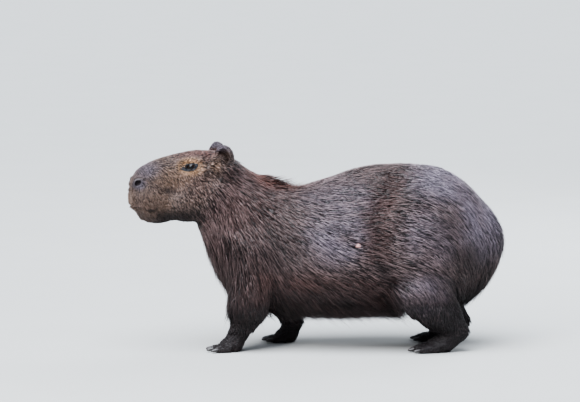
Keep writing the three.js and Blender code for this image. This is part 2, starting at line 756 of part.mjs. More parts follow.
function makeHead() {
  const skin = wrap(headField, headRings(), 36);
  const room = solidOf(swollen(skin, GAP + FLATTEST.head));
  let solid = keepAhead(solidOf(skin).simplify(FLATTEST.head), NECK_WAY, NECK_END + GAP);
  for (const [, lids] of bothSides(lidSkin())) solid = solid.add(solidOf(lids));
  const ball = new THREE.SphereGeometry(EYE.radius, 14, 8).translate(...EYE.at.toArray());
  const socket = new THREE.SphereGeometry(EYE.radius + GAP + 0.1, 14, 8).translate(...EYE.at.toArray());
  for (const [, space] of bothSides(socket)) solid = solid.subtract(solidOf(space));
  for (const [, pit] of bothSides(nostrilSkin())) solid = solid.subtract(solidOf(pit));
  solid = solid.subtract(solidOf(mouthSkin()));
  headGroup.add(meshOf("head", solid, face));
  for (const [side, geometry] of bothSides(ball)) headGroup.add(meshOf("eye_" + side, solidOf(geometry), eyeball));
  for (const [side, geometry] of bothSides(earSkin())) {
    headGroup.add(meshOf("ear_" + side, solidOf(geometry).subtract(room), ear));
  }
}

// Bends a skin round the turn of the neck: nothing moves at its start, and all of the turn is done at its end.
function bent(geometry) {
  const position = geometry.getAttribute("position");
  const point = new THREE.Vector3();
  for (let i = 0; i < position.count; i++) {
    point.fromBufferAttribute(position, i);
    const share = THREE.MathUtils.smoothstep(point.dot(NECK_WAY), NECK_START, NECK_END - 8);
    point.x -= NECK_TURNS_AT_X;
    point.applyAxisAngle(new THREE.Vector3(0, 0, 1), share * HEAD_TURN);
    point.x += NECK_TURNS_AT_X;
    position.setXYZ(i, ...point);
  }
  return geometry;
}

function makeNeck() {
  const axis = places([[-60, 0, 330], [-190, 0, 385], [-330, 0, 482]], 26);
  const turned = NECK_WAY.clone().applyAxisAngle(new THREE.Vector3(0, 0, 1), HEAD_TURN);
  const onPlane = NECK_WAY.clone().multiplyScalar(NECK_END);
  onPlane.x -= NECK_TURNS_AT_X;
  onPlane.applyAxisAngle(new THREE.Vector3(0, 0, 1), HEAD_TURN);
  onPlane.x += NECK_TURNS_AT_X;
  let solid = keepAhead(solidOf(bent(wrap(coreField, axis, 28))), NECK_WAY, NECK_START + GAP);
  solid = keepBehind(solid, turned, onPlane.dot(turned));
  const rows = places([[-205, 0, 385], [-330, 0, 478]], NECK_LOCKS.rows).reverse();
  const bounds = [{ way: NECK_WAY, from: NECK_START + 2, to: NECK_END - 4 }];
  const locks = lockSkins(torsoField, rows, bounds, NECK_LOCKS, 11).map((lock) => solidOf(bent(lock)));
  return meshOf("neck", wasm.Manifold.union([solid, ...locks]), coat);
}

function makeTorso() {
  const axis = places([[424, 0, 338], [250, 0, 330], [60, 0, 315], [-90, 0, 330], [-230, 0, 410]], 34);
  const skin = wrap(coreField, rounded(axis, [11, 24, 38, 52, 66, 80], true), 30);
  const rows = places([[400, 0, 338], [250, 0, 330], [60, 0, 315], [-90, 0, 330], [-185, 0, 378]], BODY_LOCKS.rows);
  const bounds = [{ way: NECK_WAY, from: -1000, to: NECK_START - 2 }];
  const locks = lockSkins(torsoField, rounded(rows, [28, 58], true), bounds, BODY_LOCKS, 7).map(solidOf);
  let solid = wasm.Manifold.union([solidOf(skin).simplify(FLATTEST.core), ...locks]);
  for (const leg of LEGS) solid = solid.add(keepAbove(solidOf(legSkin(leg)), leg.parted));
  solid = keepBehind(solid, NECK_WAY, NECK_START);
  for (const leg of LEGS) {
    solid = solid.subtract(keepBelow(solidOf(swollen(legSkin(leg))), leg.parted + GAP));
  }
  return meshOf("torso", solid, coat);
}

// A leg, its foot and its claws.
function makeLeg(leg) {
  const group = new THREE.Group();
  const whole = keepBehind(keepBelow(solidOf(legSkin(leg)), leg.parted), NECK_WAY, NECK_START);
  group.add(meshOf("leg_" + leg.name, keepAbove(whole, ANKLE_CUT + GAP), shank));
  let foot = keepAbove(keepBelow(footSolid(leg), ANKLE_CUT), 0);
  toesOf(leg).forEach((toe, i) => {
    const claw = clawSkin(toe);
    foot = foot.subtract(solidOf(swollen(claw)));
    group.add(meshOf(`claw_${leg.name}_${i + 1}`, solidOf(claw), horn));
  });
  group.add(meshOf("foot_" + leg.name, foot, sole, 0.2));
  return group;
}

const capybara = new THREE.Group();
makeHead();
capybara.add(headPivot, makeNeck(), makeTorso());
for (const leg of LEGS) capybara.add(makeLeg(leg));

// The origin is on the floor, under the middle of the animal.
const reach = new THREE.Box3().setFromObject(capybara, true);
const middle = reach.getCenter(new THREE.Vector3());
capybara.position.set(-middle.x, -middle.y, -reach.min.z);

export default capybara;
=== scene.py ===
"""A life-size capybara that stands still, dressed in skin, coat, eyes, lids, ears and claws."""

import math

import bmesh
import bpy
import numpy as np
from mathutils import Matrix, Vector
from mathutils.bvhtree import BVHTree
from mathutils.kdtree import KDTree


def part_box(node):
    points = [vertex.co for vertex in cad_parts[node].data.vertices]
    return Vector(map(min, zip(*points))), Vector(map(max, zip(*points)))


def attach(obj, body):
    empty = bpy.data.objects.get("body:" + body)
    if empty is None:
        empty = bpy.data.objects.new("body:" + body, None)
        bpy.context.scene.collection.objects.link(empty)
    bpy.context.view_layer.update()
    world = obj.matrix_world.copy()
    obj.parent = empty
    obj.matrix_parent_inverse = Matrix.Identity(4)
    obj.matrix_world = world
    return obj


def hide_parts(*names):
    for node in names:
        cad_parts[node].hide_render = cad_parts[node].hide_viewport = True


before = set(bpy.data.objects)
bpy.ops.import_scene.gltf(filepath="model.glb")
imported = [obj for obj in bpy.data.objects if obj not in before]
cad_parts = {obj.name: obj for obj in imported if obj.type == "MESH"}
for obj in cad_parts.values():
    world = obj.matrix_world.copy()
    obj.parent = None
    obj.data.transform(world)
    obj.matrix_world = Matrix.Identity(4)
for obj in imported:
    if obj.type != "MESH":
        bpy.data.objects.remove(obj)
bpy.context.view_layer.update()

bl_info = {
    "name": "Capybara",
    "version": (1, 0, 0),
    "blender": (4, 5, 0),
    "location": "View3D > Sidebar > Capybara",
    "description": "Dresses a standing capybara in skin, coat, eyes and claws",
    "category": "Object",
}

# The body faces -X and its left side is towards -Y. The head is turned to its left about an upright line.
HEAD_TURN = math.radians(11)
TURNS_AT_X = -0.169
LEGS = [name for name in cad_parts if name.startswith("leg_")]
FEET = [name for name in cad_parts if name.startswith("foot_")]
CLAWS = [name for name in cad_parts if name.startswith("claw_")]
EARS = ["ear_left", "ear_right"]
EYES = ["eye_left", "eye_right"]
FLESH = ["head", "neck", "torso", *LEGS, *FEET]

# Places on the head before it is turned, for its right side; the left side has y the other way.
EYE_AT = (-0.3944, 0.0526, 0.5625)
EYE_WAY = (-0.26, 0.95, 0.16)
NOSTRIL_AT = (-0.557, 0.043, 0.5165)
EAR_AT = (-0.294, 0.061, 0.588)
MOUTH = [(-0.577, 0.0, 0.446), (-0.544, 0.044, 0.437), (-0.516, 0.055, 0.434), (-0.491, 0.061, 0.428)]

# The outer and inner edges of the lids, from the eyeball's centre: how far they reach forwards and back,
# how high their corners are, and how far they rise above and fall below the corners.
LID_OUTER = (0.0375, 0.0236, 0.0052, 0.0072, 0.0185)
LID_INNER = (0.0124, 0.0120, 0.0020, 0.0062, 0.0108)
EYE_TILT = math.radians(9.9)

# Which way the hair lies along the body: degrees below straight back, from the neck to the rump.
LIE_AT_X = (-0.38, -0.29, -0.20, -0.11, -0.02, 0.09, 0.22, 0.31, 0.38, 0.45, 0.52, 0.574)
LIE_DOWN = (62, 64, 56, 42, 24, 9, 10, 24, 38, 50, 64, 82)
# Which way it lies on the legs and on the feet.
LIE_OF_LEG = (0.22, 0.0, -1.0)
LIE_OF_FOOT = (-0.9, 0.0, -0.45)
# The parting in front of the haunch, seen from the side, from the back down to the flank.
PARTING = [(0.238, 0.53), (0.206, 0.47), (0.184, 0.42), (0.190, 0.37), (0.194, 0.32)]
# The front edge of the thigh, where the long hair of the belly ends.
THIGH_EDGE = [(0.205, 0.27), (0.232, 0.20), (0.265, 0.13)]
# The thigh's middle and its reach, where the hair is shorter and its colour calmer.
THIGH = ((0.335, 0.19), (0.12, 0.10))
# Other folds and the brow, each a line. Those of the head are for the straight head's right side.
ELBOW = [(-0.13, 0.24), (-0.11, 0.18), (-0.115, 0.13)]
JAW = [(-0.36, 0.09, 0.50), (-0.375, 0.09, 0.45), (-0.40, 0.08, 0.41)]
CHEEK = [(-0.475, 0.06, 0.494), (-0.45, 0.065, 0.487), (-0.43, 0.07, 0.486)]
BROW = [(-0.422, 0.06, 0.583), (-0.394, 0.062, 0.588), (-0.365, 0.066, 0.586)]
# How deep each fold is, as a share of the depth that is set, and how far its dent reaches. A brow stands out.
BODY_FOLDS = ((PARTING, 1.2, 0.055), (THIGH_EDGE, 1.0, 0.035), (ELBOW, 0.8, 0.045))
HEAD_FOLDS = ((JAW, 0.35, 0.03), (CHEEK, 0.4, 0.014), (BROW, -0.3, 0.014))
SCAR_AT = (0.126, -0.19, 0.334)
SCAR_SIZE = (0.0085, 0.0035, 0.0058)
SCAR_PINK = (0.30, 0.17, 0.16)
HORN = (0.012, 0.010, 0.010)

# The ears are cast in finer cells than the body. Closed pockets with fewer points than the smallest shell are
# dropped, and the body's triangles are thinned to so many. The skin lies below the solids by the hair's depth
# at most.
EAR_CELL = 0.0013
SMALLEST_SHELL = 200
BODY_TRIANGLES = 156000
HAIR_DEPTH = 0.0032
# A vertex group's shares go in so many steps.
SHARE_STEPS = 24
# The clear front of the eye bulges inside this share of its radius, by so much of it.
CORNEA = 0.75
CORNEA_BULGE = 0.045

# Where a long tuft and a short one are widest, how deep their roots sit in the skin, and how far they are
# drawn in to their strand.
LONG_WIDEST = 0.5
LONG_DEPTH = 0.0015
LONG_PULL = 0.85
SHORT_WIDEST = 0.42
SHORT_DEPTH = 0.0008
SHORT_PULL = 0.7
# Guard hairs are longer and thinner than the others.
GUARD_LENGTH = 1.5
GUARD_WIDTH = 0.75
# How long the hair is on the legs, the feet and the ears.
LEG_HAIR = 0.019
FOOT_HAIR = 0.008
EAR_HAIR = 0.0042
# A whisker's places: their share of its length, and how much of its droop they have.
WHISKER_BENDS = ((0.32, 0.1), (0.68, 0.45), (1, 1))
WHISKER_WIDTH = 0.0007
WHISKERS = 56


# Numbers

def ramp(value, start, end):
    """0 up to start, 1 from end on, and smooth between them."""
    t = np.clip((value - start) / (end - start), 0, 1)
    return t * t * (3 - 2 * t)


def blend(low, high, share):
    """Low where the share is 0, high where it is 1, and between them in proportion."""
    return low * (1 - share) + high * share


def unit(vectors):
    return vectors / np.maximum(np.linalg.norm(vectors, axis=-1, keepdims=True), 1e-12)


def near(points, place, reach):
    """1 at a place, down to 0 at its reach, which is one length or one for each axis.

    A place of (x, z) is seen from the side.
    """
    if len(place) == 2:
        points = points[:, ::2]
    return 1 - ramp(np.linalg.norm((points - np.array(place)) / np.array(reach), axis=1), 0.25, 1)


def near_line(points, line, reach):
    """1 on a line of straight stretches, down to 0 at its reach. A line of (x, z) is seen from the side."""
    if len(line[0]) == 2:
        line = [(x, 0.0, z) for x, z in line]
        points = points * (1, 0, 1)
    off = np.full(len(points), 1e9)
    for start, end in zip(np.array(line[:-1]), np.array(line[1:])):
        along = end - start
        t = np.clip((points - start) @ along / (along @ along), 0, 1)
        off = np.minimum(off, np.linalg.norm(points - start - t[:, None] * along, axis=1))
    return 1 - ramp(off, 0, reach)


def grain(points, size, seed):
    """Smooth random numbers from -1 to 1 that change over a size, the same at every run."""
    scaled = points / size + seed * 7.31
    cell = np.floor(scaled).astype(np.int64)
    part = scaled - cell
    part = part * part * (3 - 2 * part)
    total = np.zeros(len(points))
    for corner in np.ndindex(2, 2, 2):
        x, y, z = (cell + np.array(corner)).T
        mixed = (x * 73856093 ^ y * 19349663 ^ z * 83492791 ^ seed * 2654435761) & 0xFFFFFFFF
        mixed = (mixed ^ (mixed >> 15)) * 2246822519 & 0xFFFFFFFF
        mixed = (mixed ^ (mixed >> 13)) * 3266489917 & 0xFFFFFFFF
        share = np.prod(np.where(corner, part, 1 - part), axis=1)
        total += share * ((mixed ^ (mixed >> 16)) & 0xFFFF) / 0x8000
    return total - 1


def straightened(points):
    """Points as they would be with the head not turned."""
    x, y = points[:, 0] - TURNS_AT_X, points[:, 1]
    c, s = math.cos(HEAD_TURN), math.sin(HEAD_TURN)
    return np.stack([TURNS_AT_X + x * c + y * s, y * c - x * s, points[:, 2]], 1)


def turned_way(ways):
    """Directions of the straight head where the turned head has them."""
    x, y = ways[:, 0], ways[:, 1]
    c, s = math.cos(HEAD_TURN), math.sin(HEAD_TURN)
    return np.stack([x * c - y * s, y * c + x * s, ways[:, 2]], 1)


def eye_frame(side):
    """An eye's centre, and the ways out of it, along its lids to the back, and over them."""
    low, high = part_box(EYES[side > 0])
    way = turned_way(unit(np.array([EYE_WAY]) * (1, side, 1)))[0]
    up = unit(np.array((0, 0, 1.0)) - way * way[2])
    back = np.cross(way, up)
    back *= np.sign(back[0])
    along = back * math.cos(EYE_TILT) + up * math.sin(EYE_TILT)
    return np.array((low + high) / 2), way, along, up * math.cos(EYE_TILT) - back * math.sin(EYE_TILT)


def lid_share(along, over):
    """How far towards the lids' outer edge a place is: 1 on it."""
    front, back, corner, up, down = LID_OUTER
    long = np.minimum(np.abs(along) / np.where(along < 0, front, back), 1)
    arch = np.maximum((1 - long**2) ** 0.65, 0.001)
    return np.maximum(long, np.abs(over - corner) / (np.where(over > corner, up, down) * arch))


# Parts of the body, each as a share from 0 to 1

def head_share(points):
    """The head ends on a plane that faces forwards and up."""
    return ramp(0.5 * points[:, 2] - 0.866 * points[:, 0], 0.478, 0.548)


def corners_of(node):
    """The lowest and the highest corner of a node."""
    return [np.array(corner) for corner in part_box(node)]


def inside(points, node, reach):
    """Within a node's box seen from above."""
    low, high = corners_of(node)
    share = np.ones(len(points))
    for axis in (0, 1):
        share *= ramp(points[:, axis], low[axis] - reach, low[axis])
        share *= ramp(points[:, axis], high[axis] + reach, high[axis])
    return share


def leg_share(points):
    share = np.zeros(len(points))
    for leg in LEGS:
        top = 0.215 if "hind" in leg else 0.185
        share = np.maximum(share, inside(points, leg, 0.02) * ramp(points[:, 2], top, top - 0.07))
    return share


def foot_share(points):
    return ramp(points[:, 2], 0.078, 0.052)


def ear_share(points):
    share = np.zeros(len(points))
    for ear in EARS:
        low, high = corners_of(ear)
        off = np.abs(points - (low + high) / 2) / (high - low)
        share = np.maximum(share, (off.max(1) < 0.52) * ramp(points[:, 2], 0.574, 0.586))
    return share


def mirrored(points):
    """Points of the straight head, all on its right side."""
    folded = straightened(points)
    folded[:, 1] = np.abs(folded[:, 1])
    return folded


# Marks, the same on the skin and on the coat

# Each spot has its strength, place and reach. Those of the head are for the straight head's right side.
GOLD_OF_HEAD = (
    (1.0, (-0.396, 0.07, 0.564), (0.056, 0.06, 0.038)),
    (0.16, (-0.45, 0.06, 0.53), (0.085, 0.06, 0.05)),
    (0.15, (-0.318, 0.074, 0.567), (0.024, 0.05, 0.030)),
    (0.12, (-0.50, 0.05, 0.45), (0.08, 0.06, 0.06)),
    (0.12, (-0.578, 0.03, 0.455), (0.03, 0.06, 0.06)),
)
# A painted shadow in the hollow of the cheek, and the nostril, dark from its own hairless skin and from
# painted shade in its pit.
DARK_SKIN_AND_SHADE_OF_HEAD = (
    (0.5, (-0.458, 0.07, 0.492), (0.03, 0.05, 0.014)),
    (0.95, NOSTRIL_AT, 0.017),
    (0.45, NOSTRIL_AT, (0.030, 0.03, 0.026)),
)
# Painted shade: in the middle of the haunch, low on the chest and low at the rear.
PAINTED_SHADE_OF_BODY = (
    (0.35, (0.40, 0.375), 0.08),
    (0.45, (-0.22, 0.25), (0.10, 0.12)),
    (0.5, (0.475, 0.27), (0.10, 0.09)),
)
WARM_OF_HEAD = (
    (1.0, (-0.345, 0.0, 0.605), (0.14, 0.09, 0.055)),
    (0.25, (-0.37, 0.08, 0.50), (0.09, 0.08, 0.07)),
)
WARM_OF_BODY = ((1.0, (-0.11, 0.0, 0.53), (0.15, 0.12, 0.08)),)
BARE_OF_HEAD = (
    (0.7, (-0.553, 0.046, 0.514), (0.032, 0.035, 0.027)),
    (0.6, (-0.525, 0.02, 0.552), (0.075, 0.07, 0.042)),
)
# Painted sheen on the hair: on the flank, the top of the rump, the rear, the thigh and the haunch.
PAINTED_SHEEN_OF_BODY = (
    (0.5, (0.07, 0.375), (0.14, 0.15)),
    (0.35, (0.08, 0.46), (0.16, 0.10)),
    (0.9, (0.385, 0.0, 0.50), (0.16, 0.25, 0.12)),
    (0.45, (0.42, 0.0, 0.46), (0.18, 0.24, 0.15)),
    (0.85, (0.515, 0.385), (0.12, 0.16)),
    (0.35, (0.335, 0.175), (0.12, 0.11)),
    (0.3, (0.36, 0.36), (0.14, 0.14)),
)


def strongest(*shares):
    """The highest of some shares at each point."""
    return np.maximum.reduce(shares)


def spotted(points, spots):
    """The strongest of some spots at each point."""
    return strongest(*(strength * near(points, place, reach) for strength, place, reach in spots))


def marks(points):
    """How much of each colour there is at a point: face, gold, dark, partly painted shade, warm, and the grey
    of hairless skin with painted sheen.
    """
    head = head_share(points)
    q = mirrored(points)
    x, y, z = points.T
    blotch = grain(points, 0.05, 3)
    flank = ramp(np.abs(y), 0.04, 0.12)
    face = head * (1 - 0.75 * near(q, (-0.33, 0.0, 0.61), (0.17, 0.05, 0.05)))
    gold = spotted(q, GOLD_OF_HEAD) * (0.8 + 0.35 * blotch) * head
    # Legs and feet are darker. The rest is painted shade: the body's spots, the parting and the thigh's front
    # edge on the flanks, and the lower body, darker towards the bottom.
    dark = strongest(
        spotted(points, PAINTED_SHADE_OF_BODY),
        np.maximum(leg_share(points), foot_share(points)) * 0.85,
        0.54 * near_line(points, PARTING, 0.055) * flank,
        0.75 * near_line(points, THIGH_EDGE, 0.036) * flank,
        0.62 * ramp(z, 0.30, 0.14) * (1 - head),
    )
    dark *= 1 - 0.65 * near(points, (0.315, 0.175), (0.12, 0.12))
    # Also darker: the spots of the head, and above the elbow. Painted shade at the top of the thigh's front
    # edge, under the jaw and in the mouth's cleft.
    dark = strongest(
        dark,
        spotted(q, DARK_SKIN_AND_SHADE_OF_HEAD),
        0.4 * near(points, (-0.12, 0.30), (0.16, 0.16)) * (1 - head),
        0.6 * near(points, (0.27, 0.21), 0.05) * flank,
        0.85 * ramp(z, 0.455, 0.410) * ramp(q[:, 0], -0.53, -0.47) * head,
        0.95 * near_line(q, MOUTH, 0.007),
    )
    warm = strongest(
        spotted(points, WARM_OF_BODY),
        spotted(q, WARM_OF_HEAD),
        0.45 * ramp(z, 0.27, 0.2) * ramp(x, -0.32, -0.2) * ramp(x, 0.3, 0.2),
        0.2 * ramp(x, -0.02, -0.2) * (1 - head),
        0.55 * near_line(points, PARTING, 0.07) * flank,
    )
    warm = np.clip(warm * (1 + 0.5 * blotch), 0, 1)
    # The grey of the nose and of the ears' tops, and painted sheen on the hair of the body.
    bare = strongest(
        spotted(points, PAINTED_SHEEN_OF_BODY),
        spotted(q, BARE_OF_HEAD),
        0.7 * ear_share(points) * ramp(z, 0.602, 0.622),
    )
    bare = np.clip(bare * (1 + 0.5 * blotch + 0.3 * grain(points, 0.022, 6)), 0, 1)
    return {"face": face, "gold": gold, "dark": dark, "warm": warm, "bare": bare}


def paint(mesh, named):
    """Puts values for each point on a mesh as attributes."""
    for name, values in named.items():
        mesh.attributes.new(name, "FLOAT", "POINT").data.foreach_set("value", values.astype(np.float32))


# Which way the hair lies

def lie(points, normals):
    """The direction of the hair at points of the skin, flat on it."""
    x, y, z = points.T
    down = np.interp(x, LIE_AT_X, LIE_DOWN)
    down -= 24 * ramp(z, 0.42, 0.56) * ramp(x, -0.05, -0.16)
    down *= 1 - 0.9 * near(points, (-0.135, 0.0, 0.52), (0.08, 0.06, 0.06))
    low = 1 - np.clip((z - 0.12) / 0.3, 0, 1)
    down = np.radians(np.minimum(down + 34 * low**1.3, 88))
    aside = 0.12 * np.clip(y / 0.07, -1, 1) * ramp(normals[:, 2], 0.5, 1)
    body = np.stack([np.cos(down), aside, -np.sin(down)], 1)

    q = mirrored(points)
    down = np.interp(q[:, 2], (0.40, 0.45, 0.50, 0.54, 0.575, 0.60), (38, 52, 56, 44, 20, 4))
    down += 34 * ramp(q[:, 0], -0.50, -0.57)
    down = np.radians(np.minimum(down, 84))
    ways = np.stack([np.cos(down), np.zeros(len(x)), -np.sin(down)], 1)
    for place, reach in ((EYE_AT, 0.05), (NOSTRIL_AT, 0.035), (EAR_AT, 0.03)):
        away = q - np.array(place)
        ways += 1.6 * near(q, place, reach)[:, None] * unit(away) * np.array((0.7, 0, 1))
    head = head_share(points)[:, None]
    ways = blend(body, turned_way(unit(ways)), head)
    ways = blend(ways, np.array(LIE_OF_LEG), leg_share(points)[:, None])
    return flat_on(blend(ways, np.array(LIE_OF_FOOT), foot_share(points)[:, None]), normals)


def flat_part(vectors, ways):
    """Vectors without what they have along the ways."""
    return vectors - np.sum(vectors * ways, axis=1, keepdims=True) * ways


def flat_on(ways, normals):
    return unit(flat_part(ways, normals))


def swung(ways, normals, angles):
    """Directions turned about the normals, by angles in degrees."""
    turn = np.radians(angles)[:, None]
    return ways * np.cos(turn) + np.cross(normals, ways) * np.sin(turn)


# Meshes

def new_object(name, mesh):
    obj = bpy.data.objects.new(name, mesh)
    bpy.context.scene.collection.objects.link(obj)
    return obj


def settle(obj):
    """Works an object's modifiers into its mesh."""
    depsgraph = bpy.context.evaluated_depsgraph_get()
    mesh = bpy.data.meshes.new_from_object(obj.evaluated_get(depsgraph))
    obj.modifiers.clear()
    obj.vertex_groups.clear()
    obj.data = mesh
    return obj


def threes(items, key):
    """The three numbers of each item, such as a point's place."""
    numbers = np.empty(len(items) * 3, np.float32)
    items.foreach_get(key, numbers)
    return numbers.reshape(-1, 3).astype(float)


def points_of(mesh):
    return threes(mesh.vertices, "co")


def normals_of(mesh):
    return threes(mesh.vertex_normals, "vector")


def triangles_of(mesh):
    mesh.calc_loop_triangles()
    corners = np.empty(len(mesh.loop_triangles) * 3, np.int32)
    mesh.loop_triangles.foreach_get("vertices", corners)
    return corners.reshape(-1, 3)


def built(name, bm):
    """Makes a mesh of what bmesh has shaped, and lets go of its working copy."""
    mesh = bpy.data.meshes.new(name)
    bm.to_mesh(mesh)
    bm.free()
    return mesh


def triangle_mesh(name, points, triangles):
    mesh = bpy.data.meshes.new(name)
    mesh.vertices.add(len(points))
    mesh.loops.add(triangles.size)
    mesh.polygons.add(len(triangles))
    mesh.vertices.foreach_set("co", points.astype(np.float32).ravel())
    mesh.loops.foreach_set("vertex_index", triangles.astype(np.int32).ravel())
    mesh.polygons.foreach_set("loop_start", np.arange(0, triangles.size, 3, dtype=np.int32))
    mesh.update(calc_edges=True)
    return mesh


def weigh(obj, name, shares):
    """A vertex group with a share for each point, in steps."""
    group = obj.vertex_groups.new(name=name)
    level = np.rint(shares * SHARE_STEPS).astype(int)
    for step in range(1, SHARE_STEPS + 1):
        group.add(np.flatnonzero(level == step).tolist(), step / SHARE_STEPS, "REPLACE")


def modify(obj, kind, **settings):
    """Adds a modifier with its settings."""
    modifier = obj.modifiers.new(kind.lower(), kind)
    for key, value in settings.items():
        setattr(modifier, key, value)


def copy_of_nodes(name, nodes, swell):
    """One object made of copies of CAD nodes, each swollen so that neighbours run into each other."""
    bm = bmesh.new()
    for node in nodes:
        bm.from_mesh(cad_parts[node].data)
    bmesh.ops.remove_doubles(bm, verts=bm.verts, dist=0.00001)
    bm.normal_update()
    for vert in bm.verts:
        vert.co += vert.normal * swell
        vert.co.z = max(vert.co.z, 0)
    return new_object(name, built(name, bm))


def keep_shells(bm, fewest):
    """Drops closed pockets that have fewer points than so many."""
    left = set(bm.verts)
    small = []
    while left:
        shell, front = set(), [left.pop()]
        while front:
            vert = front.pop()
            shell.add(vert)
            for edge in vert.link_edges:
                other = edge.other_vert(vert)
                if other in left:
                    left.discard(other)
                    front.append(other)
        if len(shell) < fewest:
            small += shell
    bmesh.ops.delete(bm, geom=small, context="VERTS")


def remeshed(obj, cell):
    modify(obj, "REMESH", mode="VOXEL", voxel_size=cell, use_smooth_shade=True)
    return settle(obj)


def worn(piece, material, slot, *nodes):
    """Gives a finished piece its material and its body, and hides the nodes it stands for."""
    piece.data.materials.clear()
    piece.data.materials.append(material)
    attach(piece, "root")
    if nodes:
        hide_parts(*nodes)


# Materials

class Recipe:
    """A material's nodes, added one after the other."""

    def __init__(self, name):
        self.material = bpy.data.materials.new(name)
        self.material.use_nodes = True
        self.tree = self.material.node_tree
        self.shader = self.tree.nodes["Principled BSDF"]

    def node(self, kind, **inputs):
        node = self.tree.nodes.new(kind)
        for socket, value in inputs.items():
            self.put(node.inputs[socket.replace("_", " ")], value)
        return node

    def put(self, socket, value):
        if isinstance(value, bpy.types.NodeSocket):
            self.tree.links.new(value, socket)
        else:
            socket.default_value = value

    def attribute(self, name):
        node = self.tree.nodes.new("ShaderNodeAttribute")
        node.attribute_name = name
        return node.outputs["Fac"]

    def mix(self, share, low, high):
        node = self.tree.nodes.new("ShaderNodeMix")
        node.data_type = "RGBA"
        self.put(node.inputs["Factor"], share)
        self.put(node.inputs["A"], low)
        self.put(node.inputs["B"], high)
        return node.outputs["Result"]

    def math(self, operation, *values, clamp=False):
        node = self.tree.nodes.new("ShaderNodeMath")
        node.operation = operation
        node.use_clamp = clamp
        for socket, value in zip(node.inputs, values):
            self.put(socket, value)
        return node.outputs[0]

    def over(self, colour, **marks):
        """Mixes a colour over another for each mark, as much as there is of the mark."""
        for mark, tone in marks.items():
            colour = self.mix(self.attribute(mark), colour, rgba(tone))
        return colour

    def noise(self, scale, detail, stretch=(1, 1, 1)):
        where = self.tree.nodes.new("ShaderNodeTexCoord").outputs["Object"]
        place = self.node("ShaderNodeMapping", Vector=where, Scale=stretch).outputs[0]
        return self.node("ShaderNodeTexNoise", Vector=place, Scale=scale, Detail=detail).outputs["Fac"]

    def bump(self, height, strength, distance):
        node = self.node("ShaderNodeBump", Height=height, Strength=strength, Distance=distance)
        self.put(self.shader.inputs["Normal"], node.outputs[0])

    def shade(self, **inputs):
        for socket, value in inputs.items():
            self.put(self.shader.inputs[socket.replace("_", " ")], value)


def rgba(colour, times=1.0, plus=0.0):
    """A colour for a socket, made lighter or darker."""
    return (*(min(c * times + plus, 1) for c in colour), 1.0)


def coat_colour(recipe, tones):
    """The marks mixed over the body's brown."""
    streak = recipe.noise(6.0, 4.0, (9, 30, 30))
    colour = recipe.mix(streak, rgba(tones.shade), rgba(tones.body))
    # The last mix greys the nose and paints sheen on the body's hair.
    return recipe.over(colour, face=tones.face, warm=tones.warm, gold=tones.gold, bare=tones.sheen)


def skin_material(tones):
    recipe = Recipe("skin")
    colour = coat_colour(recipe, tones)
    # The skin goes towards near black through a noise and the depth: painted shade between the tufts.
    dusk = recipe.math("MULTIPLY_ADD", recipe.noise(700.0, 2.0), 0.7, tones.depth - 0.35)
    colour = recipe.over(recipe.mix(dusk, (0.004, 0.003, 0.003, 1), colour), dark=tones.dark)
    recipe.shade(Base_Color=colour, Roughness=0.6, Specular_IOR_Level=0.35)
    recipe.bump(recipe.noise(900.0, 3.0), 0.5, 0.0012)
    return recipe.material


def tuft_material(name, tones, gloss):
    """Hair that is darker at its root, and lighter or darker from tuft to tuft."""
    recipe = Recipe(name)
    colour = coat_colour(recipe, tones)
    tip = recipe.attribute("tip")
    root = recipe.math("MULTIPLY_ADD", tip, 0.9, 0.25, clamp=True)
    colour = recipe.mix(root, (0.006, 0.0045, 0.004, 1), colour)
    tone = recipe.attribute("tone")
    lift = recipe.math("MULTIPLY", recipe.math("MAXIMUM", tone, 0.0), tip)
    # The ends are grey on the nose, and painted sheen on the sheen spots of the body.
    ends = dict(face=tones.muzzle, warm=tones.ember, bare=tones.grey_and_sheen_ends, gold=tones.gold)
    ends = recipe.over(rgba(tones.tips), **ends)
    colour = recipe.mix(recipe.math("MULTIPLY", lift, 0.85, clamp=True), colour, ends)
    # Tufts below nought, mostly those between strands, go towards near black: painted shade in the gaps.
    sink = recipe.math("MULTIPLY", recipe.math("MINIMUM", tone, 0.0), -0.85, clamp=True)
    colour = recipe.over(recipe.mix(sink, colour, (0.006, 0.005, 0.005, 1)), dark=tones.dark)
    recipe.shade(Base_Color=colour, Roughness=gloss, Specular_IOR_Level=0.4)
    recipe.bump(recipe.noise(1600.0, 2.0), 0.25, 0.0004)
    return recipe.material


def eye_material(settings):
    recipe = Recipe("eye")
    across = recipe.attribute("across")
    fleck = recipe.noise(420.0, 3.0)
    iris = recipe.mix(fleck, rgba(settings.iris), rgba(settings.iris, 0.35))
    pupil = recipe.math("MULTIPLY_ADD", across, 14.0, -5.2, clamp=True)
    colour = recipe.mix(pupil, (0.0015, 0.0015, 0.002, 1), iris)
    white = recipe.math("MULTIPLY_ADD", across, 9.0, -7.4, clamp=True)
    colour = recipe.mix(white, colour, (0.012, 0.009, 0.008, 1))
    recipe.shade(Base_Color=colour, Roughness=0.2, Specular_IOR_Level=0.12)
    recipe.shade(Coat_Weight=0.55, Coat_Roughness=0.03, Coat_IOR=1.35)
    return recipe.material


def wet_skin_material(name, colour, gloss):
    recipe = Recipe(name)
    crease = recipe.noise(520.0, 4.0)
    base = recipe.mix(crease, rgba(colour), rgba(colour, 2.0))
    recipe.shade(Base_Color=base, Roughness=gloss, Specular_IOR_Level=0.55)
    recipe.bump(crease, 0.35, 0.0008)
    return recipe.material


def horn_material(colour):
    recipe = Recipe("horn")
    ridges = recipe.noise(4.0, 4.0, (30, 160, 160))
    recipe.shade(Base_Color=recipe.mix(ridges, rgba(colour), rgba(colour, 3.2, 0.02)), Roughness=0.36)
    recipe.bump(ridges, 0.3, 0.0006)
    return recipe.material


# The skin, and what the coat needs to know of it

